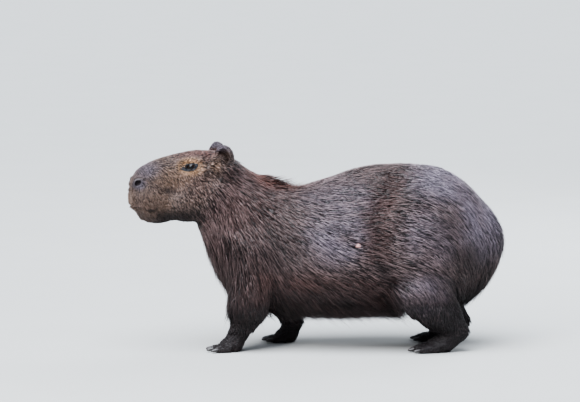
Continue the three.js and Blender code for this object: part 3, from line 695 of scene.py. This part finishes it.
class Hide:
    """The finished skin's points, normals and triangles, with a quick way to find its nearest place."""

    def __init__(self, obj):
        self.points = points_of(obj.data)
        self.normals = normals_of(obj.data)
        self.triangles = triangles_of(obj.data)
        corners = self.points[self.triangles]
        cross = np.cross(corners[:, 1] - corners[:, 0], corners[:, 2] - corners[:, 0])
        self.areas = np.linalg.norm(cross, axis=1) / 2
        self.middles = corners.mean(1)
        self.tree = BVHTree.FromPolygons(self.points.tolist(), self.triangles.tolist())

    def roots(self, shares, count, draw):
        """Places spread over the skin as thickly as the shares of its triangles say, with their normals."""
        total = np.cumsum(self.areas * shares)
        steps = (np.arange(count) + draw.random(count)) * total[-1] / count
        chosen = self.triangles[np.minimum(np.searchsorted(total, steps), len(total) - 1)]
        a, b = draw.random(count), draw.random(count)
        flip = a + b > 1
        a[flip], b[flip] = 1 - a[flip], 1 - b[flip]
        parts = np.stack([1 - a - b, a, b], 1)[:, :, None]
        return (self.points[chosen] * parts).sum(1), unit((self.normals[chosen] * parts).sum(1))

    def touch(self, points):
        """The nearest places of the skin and their normals."""
        found = [self.tree.find_nearest(point)[:2] for point in points.tolist()]
        return np.array([place for place, _ in found]), np.array([normal for _, normal in found])


# The finished skin, for the operators that come after the one that makes it.
hides = {}


# Tufts

# A tuft is a closed spindle with three sides: its root, then its left, right and top, then its tip.
TUFT_FACES = np.array([(0, 3, 1), (0, 2, 3), (0, 1, 2), (1, 3, 4), (3, 2, 4), (2, 1, 4)])
TUFT_POINTS = 5


def unwrap(points):
    """The body laid out flat as a tube along its length, slit below, with its legs as tubes beside it."""
    q = straightened(points)
    front = ramp(points[:, 0], -0.1, -0.25)
    x, y = blend(points[:, 0], q[:, 0], front), blend(points[:, 1], q[:, 1], front)
    axis = np.interp(x, (-0.58, -0.4, -0.25, -0.1, 0.58), (0.49, 0.5, 0.42, 0.32, 0.32))
    round_it = np.arctan2(y, points[:, 2] - axis) / (2 * math.pi) + 0.5
    along = np.arcsin(np.clip(x / 0.59, -1, 1)) / math.pi + 0.5
    u, v = 0.02 + 0.96 * along, 0.27 + 0.7 * round_it
    for i, leg in enumerate(LEGS):
        low, high = corners_of(leg)
        centre = (low + high) / 2
        mine = (inside(points, leg, 0.05) > 0.01) & (points[:, 2] < high[2] - 0.06)
        angle = np.arctan2(points[:, 1] - centre[1], points[:, 0] - centre[0]) / (2 * math.pi) + 0.5
        u = np.where(mine, (i + 0.08 + 0.84 * angle) / 4, u)
        v = np.where(mine, 0.01 + 0.23 * points[:, 2] / 0.2, v)
    return np.stack([u, v], 1)


# The size of a tuft's patch in the flat layout, and how low a tuft may reach.
PATCH = 0.003
LOWEST_TIP = 0.0008
# The marks are read at this share of the way from the last place before the tip to the tip.
MARKED_AT = 0.4


def coat_piece(name, lines, normals, ways, widths, thick, widest, tone, material, slot):
    """Joins tufts into one piece.

    Lines holds each tuft's root, the place where it is widest and its tip. A whisker has one more place
    before its tip. Widest is the share of a tuft's length up to the place where it is widest, and thick is
    its depth there as a share of its width.
    """
    count = len(lines)
    middle = lines[:, 1]
    half = np.cross(ways, normals) * (widths / 2)[:, None]
    top = middle + normals * (widths * thick)[:, None]
    points = np.stack([lines[:, 0], middle - half, middle + half, top, lines[:, -1]], 1).reshape(-1, 3)
    points[:, 2] = np.maximum(points[:, 2], LOWEST_TIP)
    triangles = (np.arange(count)[:, None, None] * TUFT_POINTS + TUFT_FACES).reshape(-1, 3)
    mesh = triangle_mesh(name, points, triangles)
    named = marks((1 - MARKED_AT) * lines[:, -2] + MARKED_AT * lines[:, -1])
    named["tone"] = tone
    named = {key: np.repeat(values, TUFT_POINTS) for key, values in named.items()}
    paint(mesh, named | {"tip": np.tile([0.0, widest, widest, widest, 1.0], count)})
    patch = np.array([(0.0, 0.5), (widest, 0.0), (widest, 1.0), (widest, 0.5), (1.0, 0.5)])
    flat = unwrap(lines[:, 0])[:, None, :] + (patch - 0.5) * PATCH
    layer = mesh.uv_layers.new(name="OFBake")
    layer.data.foreach_set("uv", flat.reshape(-1, 2)[triangles.ravel()].astype(np.float32).ravel())
    worn(new_object(name, mesh), material, slot)


def leading(spots, apart, draw):
    """Picks tufts to lead strands, so that none has its root nearer than that to another one's path."""
    cells = np.floor(spots / apart).astype(int).tolist()
    spots = spots.tolist()
    around = [(i - 1, j - 1, k - 1) for i, j, k in np.ndindex(3, 3, 3)]
    taken, leaders = {}, []
    for tuft in draw.permutation(len(spots)).tolist():
        x, y, z = cells[tuft][0]
        root = spots[tuft][0]
        close = (spot for i, j, k in around for spot in taken.get((x + i, y + j, z + k), ()))
        if all(math.dist(root, spot) > apart for spot in close):
            leaders.append(tuft)
            for cell, spot in zip(cells[tuft], spots[tuft]):
                taken.setdefault(tuple(cell), []).append(spot)
    return np.array(leaders)


def stranded(lines, ways, normals, draw, apart, pull):
    """Draws tufts in sideways to strands that lie so far apart.

    It also tells how far off its strand each tuft grows, from 0 to about 1, and how light that strand is.
    """
    spots = np.concatenate([lines, (lines[:, 1:] + lines[:, :-1]) / 2], 1)
    each = spots.shape[1]
    leaders = leading(spots, apart, draw)
    spots = spots[leaders].reshape(-1, 3)
    tree = KDTree(len(spots))
    for i, spot in enumerate(spots.tolist()):
        tree.insert(spot, i)
    tree.balance()
    found = np.array([tree.find(root)[1] for root in lines[:, 0].tolist()])
    aside = flat_part(flat_part(spots[found] - lines[:, 0], ways), normals)
    off = np.minimum(np.linalg.norm(aside, axis=1) / (0.6 * apart), 1)
    own = pull * ramp(off, 1.05, 0.55) * (0.7 + 0.3 * draw.random(len(lines)))
    steps = np.linspace(0.35, 1, lines.shape[1])
    moved = lines + aside[:, None, :] * own[:, None, None] * steps[None, :, None]
    light = draw.random(len(leaders))
    return moved, off, light[found // each]


def strand_tones(roots, off, light, draw):
    """How light each tuft is, from -1 to 1: light along its strand, and dark between strands as painted shade
    in the gaps.
    """
    calm = 1 - 0.5 * near(roots, *THIGH)
    tone = 0.48 - 2.3 * off + 0.5 * (light - 0.5) + draw.normal(0, 0.36, len(roots))
    q = mirrored(roots)
    # Lighter round the eye. At the front of the muzzle the lighter tufts are a painted rim of light on its
    # edge.
    tone += 0.3 * near(q, EYE_AT, 0.05) + 0.35 * near(q, (-0.55, 0.03, 0.47), (0.06, 0.06, 0.06))
    tone += 0.4 * ramp(roots[:, 0], -0.12, -0.30)
    tone -= 0.15 * ramp(roots[:, 2], 0.40, 0.50) * ramp(roots[:, 0], -0.28, -0.15)
    return np.clip((tone + 0.06 * grain(roots, 0.03, 21) - 0.05) * calm, -1, 1)


def tuft_length(points):
    """How long the hair is: shortest on the ears and the nose, longest on the chest and below."""
    x, _, z = points.T
    body = 0.042 + 0.012 * ramp(z, 0.3, 0.16) + 0.01 * ramp(x, -0.05, -0.2) * ramp(z, 0.5, 0.36)
    body *= 1 - 0.5 * near(points, *THIGH)
    q = mirrored(points)
    head = np.interp(q[:, 0], (-0.575, -0.52, -0.44, -0.36, -0.28), (0.005, 0.0085, 0.011, 0.014, 0.024))
    head += 0.010 * near(q, (-0.300, 0.07, 0.583), (0.02, 0.03, 0.02))
    length = blend(body, head, head_share(points))
    length = blend(length, LEG_HAIR, leg_share(points))
    length = blend(length, FOOT_HAIR, foot_share(points))
    return blend(length, EAR_HAIR, ear_share(points))


def bald(points):
    """0 where no hair grows: on the eyes, in the nostrils, in the mouth and under the feet."""
    q = mirrored(points)
    share = np.ones(len(points))
    for side in (-1, 1):
        place, way, along, over = eye_frame(side)
        off = points - place
        share *= np.maximum(ramp(lid_share(off @ along, off @ over), 0.86, 1.0), off @ way < -0.01)
    share *= ramp(np.linalg.norm(q - np.array(NOSTRIL_AT), axis=1), 0.011, 0.017)
    share *= near(points, np.array(SCAR_AT) - (0.018, 0, -0.003), (0.036, 0.05, 0.015)) < 0.4
    share *= 1 - near_line(q, MOUTH, 0.006)
    return share * ramp(points[:, 2], 0.002, 0.005)


def rough(points):
    """Where the hair stands off: on the withers, down the throat and chest, and behind the rump."""
    share = 0.75 * near(points, (-0.12, 0.0, 0.53), (0.10, 0.06, 0.06))
    share = np.maximum(share, 0.22 * ramp(points[:, 0], -0.2, -0.27) * ramp(points[:, 2], 0.42, 0.34))
    return np.maximum(share, 0.2 * ramp(points[:, 0], 0.47, 0.55)) + 0.03


def long_coat(name, hide, growth, count, seed, spread, coat, material):
    """Tufts that are walked over the skin, so that they bend with it."""
    draw = np.random.default_rng(seed)
    roots, normals = hide.roots(growth, count, draw)
    ways = lie(roots, normals)
    sway = 13 * grain(roots, 0.07, 11) + 4 * grain(roots, 0.022, 12) + draw.normal(0, 4, count)
    ways = swung(ways, normals, sway)
    guard = draw.random(count) < coat.guard
    lengths = tuft_length(roots) * coat.length * draw.uniform(0.7, 1.2, count)
    lengths *= np.where(guard, GUARD_LENGTH, 1)
    body = 1 - np.maximum(head_share(roots), leg_share(roots))
    rise = np.where(guard, draw.uniform(0.75, 1, count), 0.6 * draw.random(count) ** 1.3)
    lift = coat.lift * (0.25 + 0.75 * body) * rise
    place, normal, way = roots, normals, ways
    line = [roots - normals * LONG_DEPTH]
    curl = draw.normal(0, 4, count)
    for height in (0.0016 + lift, 0.0006 + 0.9 * lift):
        place, normal = hide.touch(place + way * (lengths / 2)[:, None])
        way = swung(flat_on(way, normal), normal, curl)
        line.append(place + normal * height[:, None])
    lines, off, light = stranded(np.stack(line, 1), ways, normals, draw, coat.strand * spread, LONG_PULL)
    hang = 0.5 * ramp(-normals[:, 2], 0.1, 0.8) * body * draw.random(count)
    stand = rough(roots) * draw.random(count) ** 2
    for step, share in ((1, 0.3), (2, 1.0)):
        lines[:, step, 2] -= share * hang * lengths
        lines[:, step] += normals * (share * stand * lengths)[:, None]
    widths = coat.width * draw.uniform(0.7, 1.25, count) * (0.55 + 0.45 * body)
    widths *= np.where(guard, GUARD_WIDTH, 1)
    lines[:, 1:] += (0.0016 * ramp(off, 0.6, 0.1))[:, None, None] * normals[:, None, :]
    tone = strand_tones(roots, off, light, draw)
    tone = np.where(guard, 0.4 + 0.6 * draw.random(count), tone)
    widths *= 1.05 - 0.35 * tone
    coat_piece(name, lines, normals, ways, widths, 0.34, LONG_WIDEST, tone, material, "coat")


def short_coat(name, hide, growth, seed, sizes, material, slot):
    """Short tufts, each straight from its root to its tip."""
    count, width, lift, apart = sizes
    draw = np.random.default_rng(seed)
    roots, normals = hide.roots(growth, count, draw)
    ways = swung(lie(roots, normals), normals, 12 * grain(roots, 0.03, 31) + draw.normal(0, 9, count))
    lengths = tuft_length(roots) * draw.uniform(0.65, 1.35, count)
    rise = lift * draw.random(count) ** 1.5
    rise += 0.0022 * near(mirrored(roots), (-0.342, 0.061, 0.578), (0.018, 0.04, 0.035))
    middle = roots + ways * (lengths * SHORT_WIDEST)[:, None] + normals * (0.0003 + 0.8 * rise)[:, None]
    tips = roots + ways * lengths[:, None] + normals * (0.06 * lengths**2 / 0.012 + rise)[:, None]
    lines = np.stack([roots - normals * SHORT_DEPTH, middle, tips], 1)
    widths = width * draw.uniform(0.6, 1.3, count) * np.clip(lengths / 0.011, 0.55, 1.6)
    lines, off, light = stranded(lines, ways, normals, draw, apart, SHORT_PULL)
    lines[:, 1:] += (0.0006 * ramp(off, 0.6, 0.1))[:, None, None] * normals[:, None, :]
    tone = strand_tones(roots, off, light, draw)
    widths *= 1.05 - 0.3 * tone
    coat_piece(name, lines, normals, ways, widths, 0.32, SHORT_WIDEST, tone, material, slot)


# What can be changed

def colour_property(name, description, default):
    return bpy.props.FloatVectorProperty(
        name=name, description=description, subtype="COLOR", size=3, min=0, max=1, default=default
    )


def number_property(name, description, default, **limits):
    return bpy.props.FloatProperty(name=name, description=description, default=default, min=0, **limits)


def length_property(name, description, default):
    return number_property(name, description, default, unit="LENGTH", precision=4)


class CapybaraTones(bpy.types.PropertyGroup):
    """Colours of the skin and coat."""

    body: colour_property("Body", "Brown of the flanks", (0.044, 0.026, 0.027))
    shade: colour_property("Shade", "Darker brown that streaks the flanks", (0.022, 0.014, 0.014))
    face: colour_property("Face", "Lighter brown of the head", (0.140, 0.092, 0.078))
    gold: colour_property("Gold", "Round the eye and on the cheek", (0.95, 0.56, 0.31))
    warm: colour_property("Warm", "Red brown of the withers and the nape", (0.105, 0.038, 0.030))
    # The colour of the legs, feet and nostrils, and painted shade in the folds, low on the body, under the
    # jaw and in the mouth.
    dark: colour_property("Dark", "Legs, feet and folds", (0.014, 0.011, 0.012))
    # The grey of the nose, and painted sheen on the hair of the body.
    sheen: colour_property("Sheen", "Grey of the nose and of the worn hair", (0.225, 0.190, 0.242))
    tips: colour_property("Tips", "Bleached ends of the body's hair", (0.54, 0.39, 0.385))
    # Ends of the nose's grey hair, and painted sheen on the ends of the body's hair.
    grey_and_sheen_ends: colour_property("Frost", "Ends of the worn hair", (0.58, 0.50, 0.60))
    muzzle: colour_property("Muzzle", "Ends of the hair of the head", (0.58, 0.43, 0.375))
    ember: colour_property("Ember", "Ends of the red brown hair", (0.58, 0.33, 0.29))
    # Depth sets the painted shade of the skin between the tufts: the higher, the lighter.
    depth: number_property("Depth", "How light the skin is between the tufts", 0.3, max=1)


class CapybaraCoat(bpy.types.PropertyGroup):
    """Sizes of the tufts."""

    length: number_property("Length", "Length of the hair as a share of its usual length", 1.3)
    width: length_property("Width", "Width of a tuft of the body", 0.0021)
    lift: length_property("Lift", "How far the hair may stand off the skin", 0.0058)
    guard: number_property("Guard", "Share of long, thin hairs on top", 0.055, max=1)
    strand: length_property("Strand", "How far apart the strands of the flanks lie", 0.0054)


class CapybaraSkin(bpy.types.PropertyGroup):
    """Sizes of the skin."""

    cell: length_property("Cell", "Size of the cells that the skin is cast in", 0.0029)
    fold: length_property("Fold", "Depth of the folds", 0.005)


class CapybaraEyes(bpy.types.PropertyGroup):
    """The eyes and what is round them."""

    iris: colour_property("Iris", "Brown of the iris", (0.016, 0.008, 0.005))
    lid: colour_property("Lid", "Bare black skin of the lids", (0.010, 0.011, 0.014))


class CapybaraStage(bpy.types.PropertyGroup):
    """The camera, light and floor."""

    distance: length_property("Distance", "From the camera to the animal", 10.0)
    across: length_property("Across", "Width of the view at the animal", 1.78)
    rise: number_property("Rise", "Angle of the camera above level", math.radians(6), subtype="ANGLE")
    floor: colour_property("Floor", "Pale floor", (0.40, 0.40, 0.39))
    sky: colour_property("Sky", "Soft light from all round", (0.74, 0.80, 0.90))


# Operators

# Each light's kind, name, place, power, colour, and its size or, for the sun, its angle.
LIGHTS = (
    ("AREA", "key", (-2.2, -3.6, 3.2), 170, (1.0, 0.97, 0.94), 2.0),
    ("AREA", "rim", (2.4, 3.0, 2.6), 110, (0.90, 0.95, 1.0), 2.0),
    ("SUN", "overcast", (-0.8, -1.7, 5.0), 9.5, (0.87, 0.93, 1.0), math.radians(55)),
)
LIT_AT = Vector((0, 0, 0.35))
VIEW_MIDDLE = Vector((-0.079, 0, 0.45))
SKY_STRENGTH = 0.7
FLOOR_RADIUS = 40


class CAPYBARA_OT_stage(bpy.types.Operator):
    """Sets the camera, the soft lights and the pale floor"""

    bl_idname = "capybara.stage"
    bl_label = "Stage"

    def execute(self, context):
        settings = context.scene.capybara_stage
        self.camera(context.scene, settings)
        self.lights(context.scene, settings)
        self.floor(settings)
        return {"FINISHED"}

    def camera(self, scene, settings):
        back = Vector((0, -math.cos(settings.rise), math.sin(settings.rise)))
        data = bpy.data.cameras.new("camera")
        data.sensor_width = 36
        data.lens = data.sensor_width * settings.distance / settings.across
        camera = new_object("camera", data)
        camera.location = VIEW_MIDDLE + back * settings.distance
        camera.rotation_euler = (math.pi / 2 - settings.rise, 0, 0)
        scene.camera = camera

    def lights(self, scene, settings):
        world = bpy.data.worlds.new("sky")
        world.use_nodes = True
        background = world.node_tree.nodes["Background"]
        background.inputs["Color"].default_value = rgba(settings.sky)
        background.inputs["Strength"].default_value = SKY_STRENGTH
        scene.world = world
        scene.view_settings.look = "AgX - Medium High Contrast"
        for kind, name, place, power, colour, spread in LIGHTS:
            data = bpy.data.lights.new(name, kind)
            data.energy = power
            data.color = colour
            if kind == "SUN":
                data.angle = spread
            else:
                data.size = spread
            light = new_object(name, data)
            light.location = place
            light.rotation_euler = (LIT_AT - light.location).to_track_quat("-Z", "Y").to_euler()

    def floor(self, settings):
        bm = bmesh.new()
        bmesh.ops.create_circle(bm, cap_ends=True, segments=96, radius=FLOOR_RADIUS)
        recipe = Recipe("floor")
        base = recipe.mix(recipe.noise(3.0, 4.0), rgba(settings.floor, 0.94), rgba(settings.floor))
        recipe.shade(Base_Color=base, Roughness=0.9)
        floor = new_object("floor", built("floor", bm))
        floor.data.materials.append(recipe.material)


class CAPYBARA_OT_skin(bpy.types.Operator):
    """Casts one skin over the head, neck, torso, legs, feet and ears"""

    bl_idname = "capybara.skin"
    bl_label = "Skin"

    def execute(self, context):
        settings = context.scene.capybara_skin
        body = remeshed(copy_of_nodes("skin", FLESH, 0.0006), settings.cell)
        self.soften(body)
        self.fold(body, settings.fold)
        self.thin(body)
        ears = remeshed(copy_of_nodes("ears", EARS, 0.0001), EAR_CELL)
        modify(ears, "SMOOTH", iterations=10)
        self.join(body, settle(ears))
        paint(body.data, marks(points_of(body.data)))
        worn(body, skin_material(context.scene.capybara_tones), "coat", *FLESH, *EARS)
        hides["skin"] = Hide(body)
        return {"FINISHED"}

    def soften(self, body):
        """Irons out the broad locks of the solids and draws the skin in by the depth of the short hair."""
        points = points_of(body.data)
        head, leg, foot = head_share(points), leg_share(points), foot_share(points)
        plain = (1 - head) * (1 - leg) * (1 - foot)
        weigh(body, "iron", np.clip(plain + 0.25 * leg * (1 - foot) + 0.02, 0, 1))
        weigh(body, "sink", np.clip(0.5 * plain + 0.55 * head + 0.75 * leg * (1 - foot) + 0.12, 0, 1))
        modify(body, "SMOOTH", factor=0.9, iterations=130, vertex_group="iron")
        modify(body, "DISPLACE", strength=-HAIR_DEPTH, mid_level=0, vertex_group="sink")
        settle(body)

    def fold(self, body, depth):
        """Presses the folds in and raises the ridge of the withers."""
        points = points_of(body.data)
        flank = ramp(np.abs(points[:, 1]), 0.05, 0.11)
        q = mirrored(points)
        out = np.zeros(len(points))
        for line, share, reach in BODY_FOLDS:
            out -= share * depth * near_line(points, line, reach) * flank
        for line, share, reach in HEAD_FOLDS:
            out -= share * depth * near_line(q, line, reach)
        out += 2.4 * depth * near(points, (-0.135, 0.0, 0.51), (0.062, 0.045, 0.05))
        out += 0.0006 * grain(points, 0.03, 5) * (1 - foot_share(points))
        moved = points + normals_of(body.data) * out[:, None]
        for side in (-1, 1):
            place, way, along, over = eye_frame(side)
            off = moved - place
            spread = np.hypot(off @ along / 0.0165, off @ over / 0.0120)
            socket = ramp(spread, 1.05, 0.75) * (off @ way > -0.006) * (off @ way < 0.03)
            moved -= 0.011 * socket[:, None] * way
        moved[:, 2] = np.maximum(moved[:, 2], 0)
        body.data.vertices.foreach_set("co", moved.astype(np.float32).ravel())
        body.data.update()

    def thin(self, body):
        """Thins the triangles out, except on the head and the feet."""
        points = points_of(body.data)
        weigh(body, "sparse", (1 - head_share(points)) * (1 - foot_share(points)))
        triangles = sum(len(face.vertices) - 2 for face in body.data.polygons)
        modify(body, "DECIMATE", ratio=min(BODY_TRIANGLES / triangles, 1), vertex_group="sparse")
        settle(body)

    def join(self, body, other):
        """Takes the other piece into the body, without what is left of closed pockets."""
        bm = bmesh.new()
        bm.from_mesh(body.data)
        bm.from_mesh(other.data)
        bmesh.ops.triangulate(bm, faces=bm.faces)
        keep_shells(bm, SMALLEST_SHELL)
        body.data = built("skin", bm)
        bpy.data.objects.remove(other)


# A lid's rings: how far inwards each one is, what it rests on and how far above that it is.
LID_RINGS = (
    (0.0, "skin", -0.0014),
    (0.12, "skin", 0.0008),
    (0.3, "skin", 0.0016),
    (0.5, "higher", 0.0020),
    (0.7, "higher", 0.0022),
    (0.85, "higher", 0.0019),
    (0.95, "higher", 0.0011),
    (1.0, "higher", 0.0002),
    (1.03, "higher", -0.0014),
)
LID_POINTS = 56


class CAPYBARA_OT_eyes(bpy.types.Operator):
    """Makes the eyeballs and the bare lids round them"""

    bl_idname = "capybara.eyes"
    bl_label = "Eyes"

    def execute(self, context):
        settings = context.scene.capybara_eyes
        balls, lids = bmesh.new(), bmesh.new()
        balls.verts.layers.float.new("across")
        for side in (-1, 1):
            centre, way, along, over = (Vector(value) for value in eye_frame(side))
            low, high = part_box(EYES[side > 0])
            radius = (high.z - low.z) / 2
            self.ball(balls, centre, radius, way)
            self.lid(lids, centre, radius, way, along, over)
        balls.normal_update()
        lids.normal_update()
        worn(new_object("eyes", built("eyes", balls)), eye_material(settings), "eyes", *EYES)
        worn(new_object("lids", built("lids", lids)), wet_skin_material("lid", settings.lid, 0.34), "face")
        return {"FINISHED"}

    def ball(self, bm, centre, radius, way):
        made = bmesh.ops.create_uvsphere(bm, u_segments=48, v_segments=32, radius=radius)["verts"]
        turn = way.to_track_quat("Z", "Y").to_matrix()
        across = bm.verts.layers.float["across"]
        for vert in made:
            off = math.hypot(vert.co.x, vert.co.y) / radius
            vert[across] = off if vert.co.z > 0 else 1.0
            if vert.co.z > 0 and off < CORNEA:
                vert.co *= 1 + CORNEA_BULGE * (1 - (off / CORNEA) ** 2)
        bmesh.ops.rotate(bm, verts=made, cent=(0, 0, 0), matrix=turn)
        bmesh.ops.translate(bm, verts=made, vec=centre)

    def lid(self, bm, centre, radius, way, along, over):
        """A ring of hairless skin from the hair to the eyeball, pointed at both corners."""
        made = bmesh.ops.create_circle(bm, segments=LID_POINTS, radius=1)["verts"]
        angle_of = {vert: math.atan2(vert.co.y, vert.co.x) for vert in made}
        edges = list({edge for vert in made for edge in vert.link_edges})
        for number, (inwards, rest, rise) in enumerate(LID_RINGS):
            if number:
                # A new point starts on the one that it grows from, and takes over its angle.
                angle_at = {tuple(vert.co): angle for vert, angle in angle_of.items()}
                grown = bmesh.ops.extrude_edge_only(bm, edges=edges)["geom"]
                made = [item for item in grown if isinstance(item, bmesh.types.BMVert)]
                edges = [item for item in grown if isinstance(item, bmesh.types.BMEdge)]
                angle_of = {vert: angle_at[tuple(vert.co)] for vert in made}
            edge = [low + (high - low) * inwards for low, high in zip(LID_OUTER, LID_INNER)]
            front, back, corner, up, down = edge
            for vert, angle in angle_of.items():
                arch = abs(math.sin(angle)) ** 1.3
                a = math.cos(angle) * (back if math.cos(angle) > 0 else front)
                b = corner + arch * (up if math.sin(angle) > 0 else -down)
                spot = centre + along * a + over * b
                out = self.level(spot, way, radius**2 - a * a - b * b, rest) + rise
                vert.co = spot + way * out

    def level(self, spot, way, beyond, rest):
        """How far out the lid lies: on the skin, or on the higher of the skin and the eyeball."""
        hit = hides["skin"].tree.ray_cast(spot + way * 0.05, -way, 0.09)[0]
        skin = (hit - spot).dot(way) if hit else -1.0
        ball = math.sqrt(beyond) if beyond > 0 else -1.0
        return max(skin, ball) if rest == "higher" else skin


class CAPYBARA_OT_claws(bpy.types.Operator):
    """Rounds the claws of the solids"""

    bl_idname = "capybara.claws"
    bl_label = "Claws"

    def execute(self, context):
        claws = copy_of_nodes("claws", CLAWS, 0.0002)
        modify(claws, "SUBSURF", levels=2, render_levels=2)
        worn(claws, horn_material(HORN), "claws", *CLAWS)
        return {"FINISHED"}


class CAPYBARA_OT_scar(bpy.types.Operator):
    """Sets an old scar in the coat of the left flank"""

    bl_idname = "capybara.scar"
    bl_label = "Scar"

    def execute(self, context):
        place, normal = hides["skin"].touch(np.array([SCAR_AT]))
        bm = bmesh.new()
        made = bmesh.ops.create_icosphere(bm, subdivisions=4, radius=1)["verts"]
        bmesh.ops.scale(bm, verts=made, vec=SCAR_SIZE)
        before = np.array([tuple(vert.co) for vert in made])
        for vert, swell in zip(made, grain(before, 0.004, 41)):
            vert.co *= 1 + 0.28 * swell
        turn = Vector((0, -1, 0)).rotation_difference(Vector(normal[0])).to_matrix()
        bmesh.ops.rotate(bm, verts=made, cent=(0, 0, 0), matrix=turn)
        bmesh.ops.translate(bm, verts=made, vec=Vector(place[0] + normal[0] * 0.0035))
        bm.normal_update()
        worn(new_object("scar", built("scar", bm)), wet_skin_material("scar", SCAR_PINK, 0.5), "coat")
        return {"FINISHED"}


class CAPYBARA_OT_whiskers(bpy.types.Operator):
    """Sets the whiskers in the muzzle"""

    bl_idname = "capybara.whiskers"
    bl_label = "Whiskers"

    def execute(self, context):
        material = tuft_material("whisker", context.scene.capybara_tones, 0.3)
        draw = np.random.default_rng(501)
        count = WHISKERS
        x, z = draw.uniform(-0.545, -0.495, count), draw.uniform(0.455, 0.502, count)
        sides = np.where(np.arange(count) % 2, 1.0, -1.0)
        pivot = np.array((TURNS_AT_X, 0, 0))
        spots = turned_way(np.stack([x, 0.09 * sides, z], 1) - pivot) + pivot
        roots, normals = hides["skin"].touch(spots)
        ways = np.stack([np.full(count, 0.75), 0.55 * sides, draw.normal(-0.18, 0.16, count)], 1)
        ways = unit(turned_way(ways))
        lengths = draw.uniform(0.022, 0.052, count)[:, None]
        droop = np.array((0, 0, -0.16)) * lengths
        line = [roots - normals * 0.001]
        line += [roots + ways * lengths * share + droop * sag for share, sag in WHISKER_BENDS]
        tone = draw.uniform(-0.9, 0.7, count)
        lines, around = np.stack(line, 1), unit(flat_part(normals, ways))
        widths = np.full(count, WHISKER_WIDTH)
        coat_piece("whiskers", lines, around, ways, widths, 0.8, LONG_WIDEST, tone, material, "face")
        return {"FINISHED"}


# The coat's pieces on each side of the body: where they start and end along it, their number of tufts, and
# how many times as far apart their strands lie as those of the flanks.
LONG_PIECES = (
    ("shoulder", -0.17, 0.02, 19000, 1.15),
    ("flank", 0.02, 0.27, 22000, 1.0),
    ("rump", 0.27, 0.7, 25000, 1.0),
)
# Their number of tufts, a tuft's width, how far it may stand off, and how far apart the strands lie.
SHORT_OF_HEAD = (27000, 0.0016, 0.0012, 0.0034)
SHORT_OF_LEGS = (16000, 0.0021, 0.0014, 0.0055)


class CAPYBARA_OT_coat(bpy.types.Operator):
    """Lays the tufts of the body, the head, the legs and the feet over the skin"""

    bl_idname = "capybara.coat"
    bl_label = "Coat"

    def execute(self, context):
        scene = context.scene
        coat, tones = scene.capybara_coat, scene.capybara_tones
        hide = hides["skin"]
        places = hide.middles
        long_hair = tuft_material("long hair", tones, 0.36)
        short_hair = tuft_material("short hair", tones, 0.4)
        head, leg, foot, ear = (share(places) for share in (head_share, leg_share, foot_share, ear_share))
        growth = bald(places) / tuft_length(places)
        x, y, _ = places.T
        short = (head > 0.5) | (leg > 0.6) | (foot > 0.5) | (ear > 0.5)
        neck = ~short & (x < LONG_PIECES[0][1])
        long_coat("coat_neck", hide, neck * growth, 26000, 101, 1.2, coat, long_hair)
        for number, (name, low, high, count, spread) in enumerate(LONG_PIECES):
            for right, side in enumerate(("left", "right")):
                zone = ~short & (x >= low) & (x < high) & ((y >= 0) == right)
                seed = 200 + 10 * number + right
                long_coat(f"coat_{name}_{side}", hide, zone * growth, count, seed, spread, coat, long_hair)
        across = straightened(places)[:, 1]
        for right, side in enumerate(("left", "right")):
            zone = (head > 0.5) & ((across >= 0) == right)
            seed = 305 + right
            short_coat(f"coat_head_{side}", hide, zone * growth, seed, SHORT_OF_HEAD, short_hair, "face")
        zone = short & (head <= 0.5)
        short_coat("coat_legs", hide, zone * growth, 401, SHORT_OF_LEGS, short_hair, "legs")
        return {"FINISHED"}


class CAPYBARA_PT_parts(bpy.types.Panel):
    """Lists the parts of the capybara"""

    bl_label = "Capybara"
    bl_space_type = "VIEW_3D"
    bl_region_type = "UI"
    bl_category = "Capybara"

    def draw(self, context):
        layout = self.layout
        for part, settings in PARTS:
            layout.operator(part.bl_idname)
            if settings:
                group = getattr(context.scene, settings)
                for key in group.__annotations__:
                    layout.prop(group, key)


PARTS = (
    (CAPYBARA_OT_stage, "capybara_stage"),
    (CAPYBARA_OT_skin, "capybara_skin"),
    (CAPYBARA_OT_eyes, "capybara_eyes"),
    (CAPYBARA_OT_claws, None),
    (CAPYBARA_OT_scar, None),
    (CAPYBARA_OT_whiskers, None),
    (CAPYBARA_OT_coat, "capybara_coat"),
)
SETTINGS = {
    "capybara_tones": CapybaraTones,
    "capybara_coat": CapybaraCoat,
    "capybara_skin": CapybaraSkin,
    "capybara_eyes": CapybaraEyes,
    "capybara_stage": CapybaraStage,
}


def register():
    for name, group in SETTINGS.items():
        bpy.utils.register_class(group)
        setattr(bpy.types.Scene, name, bpy.props.PointerProperty(type=group))
    for part, _ in PARTS:
        bpy.utils.register_class(part)
    bpy.utils.register_class(CAPYBARA_PT_parts)


def unregister():
    bpy.utils.unregister_class(CAPYBARA_PT_parts)
    for part, _ in reversed(PARTS):
        bpy.utils.unregister_class(part)
    for name, group in SETTINGS.items():
        delattr(bpy.types.Scene, name)
        bpy.utils.unregister_class(group)


def main():
    register()
    for part, _ in PARTS:
        group, name = part.bl_idname.split(".")
        getattr(getattr(bpy.ops, group), name)()


if __name__ == "__main__":
    main()
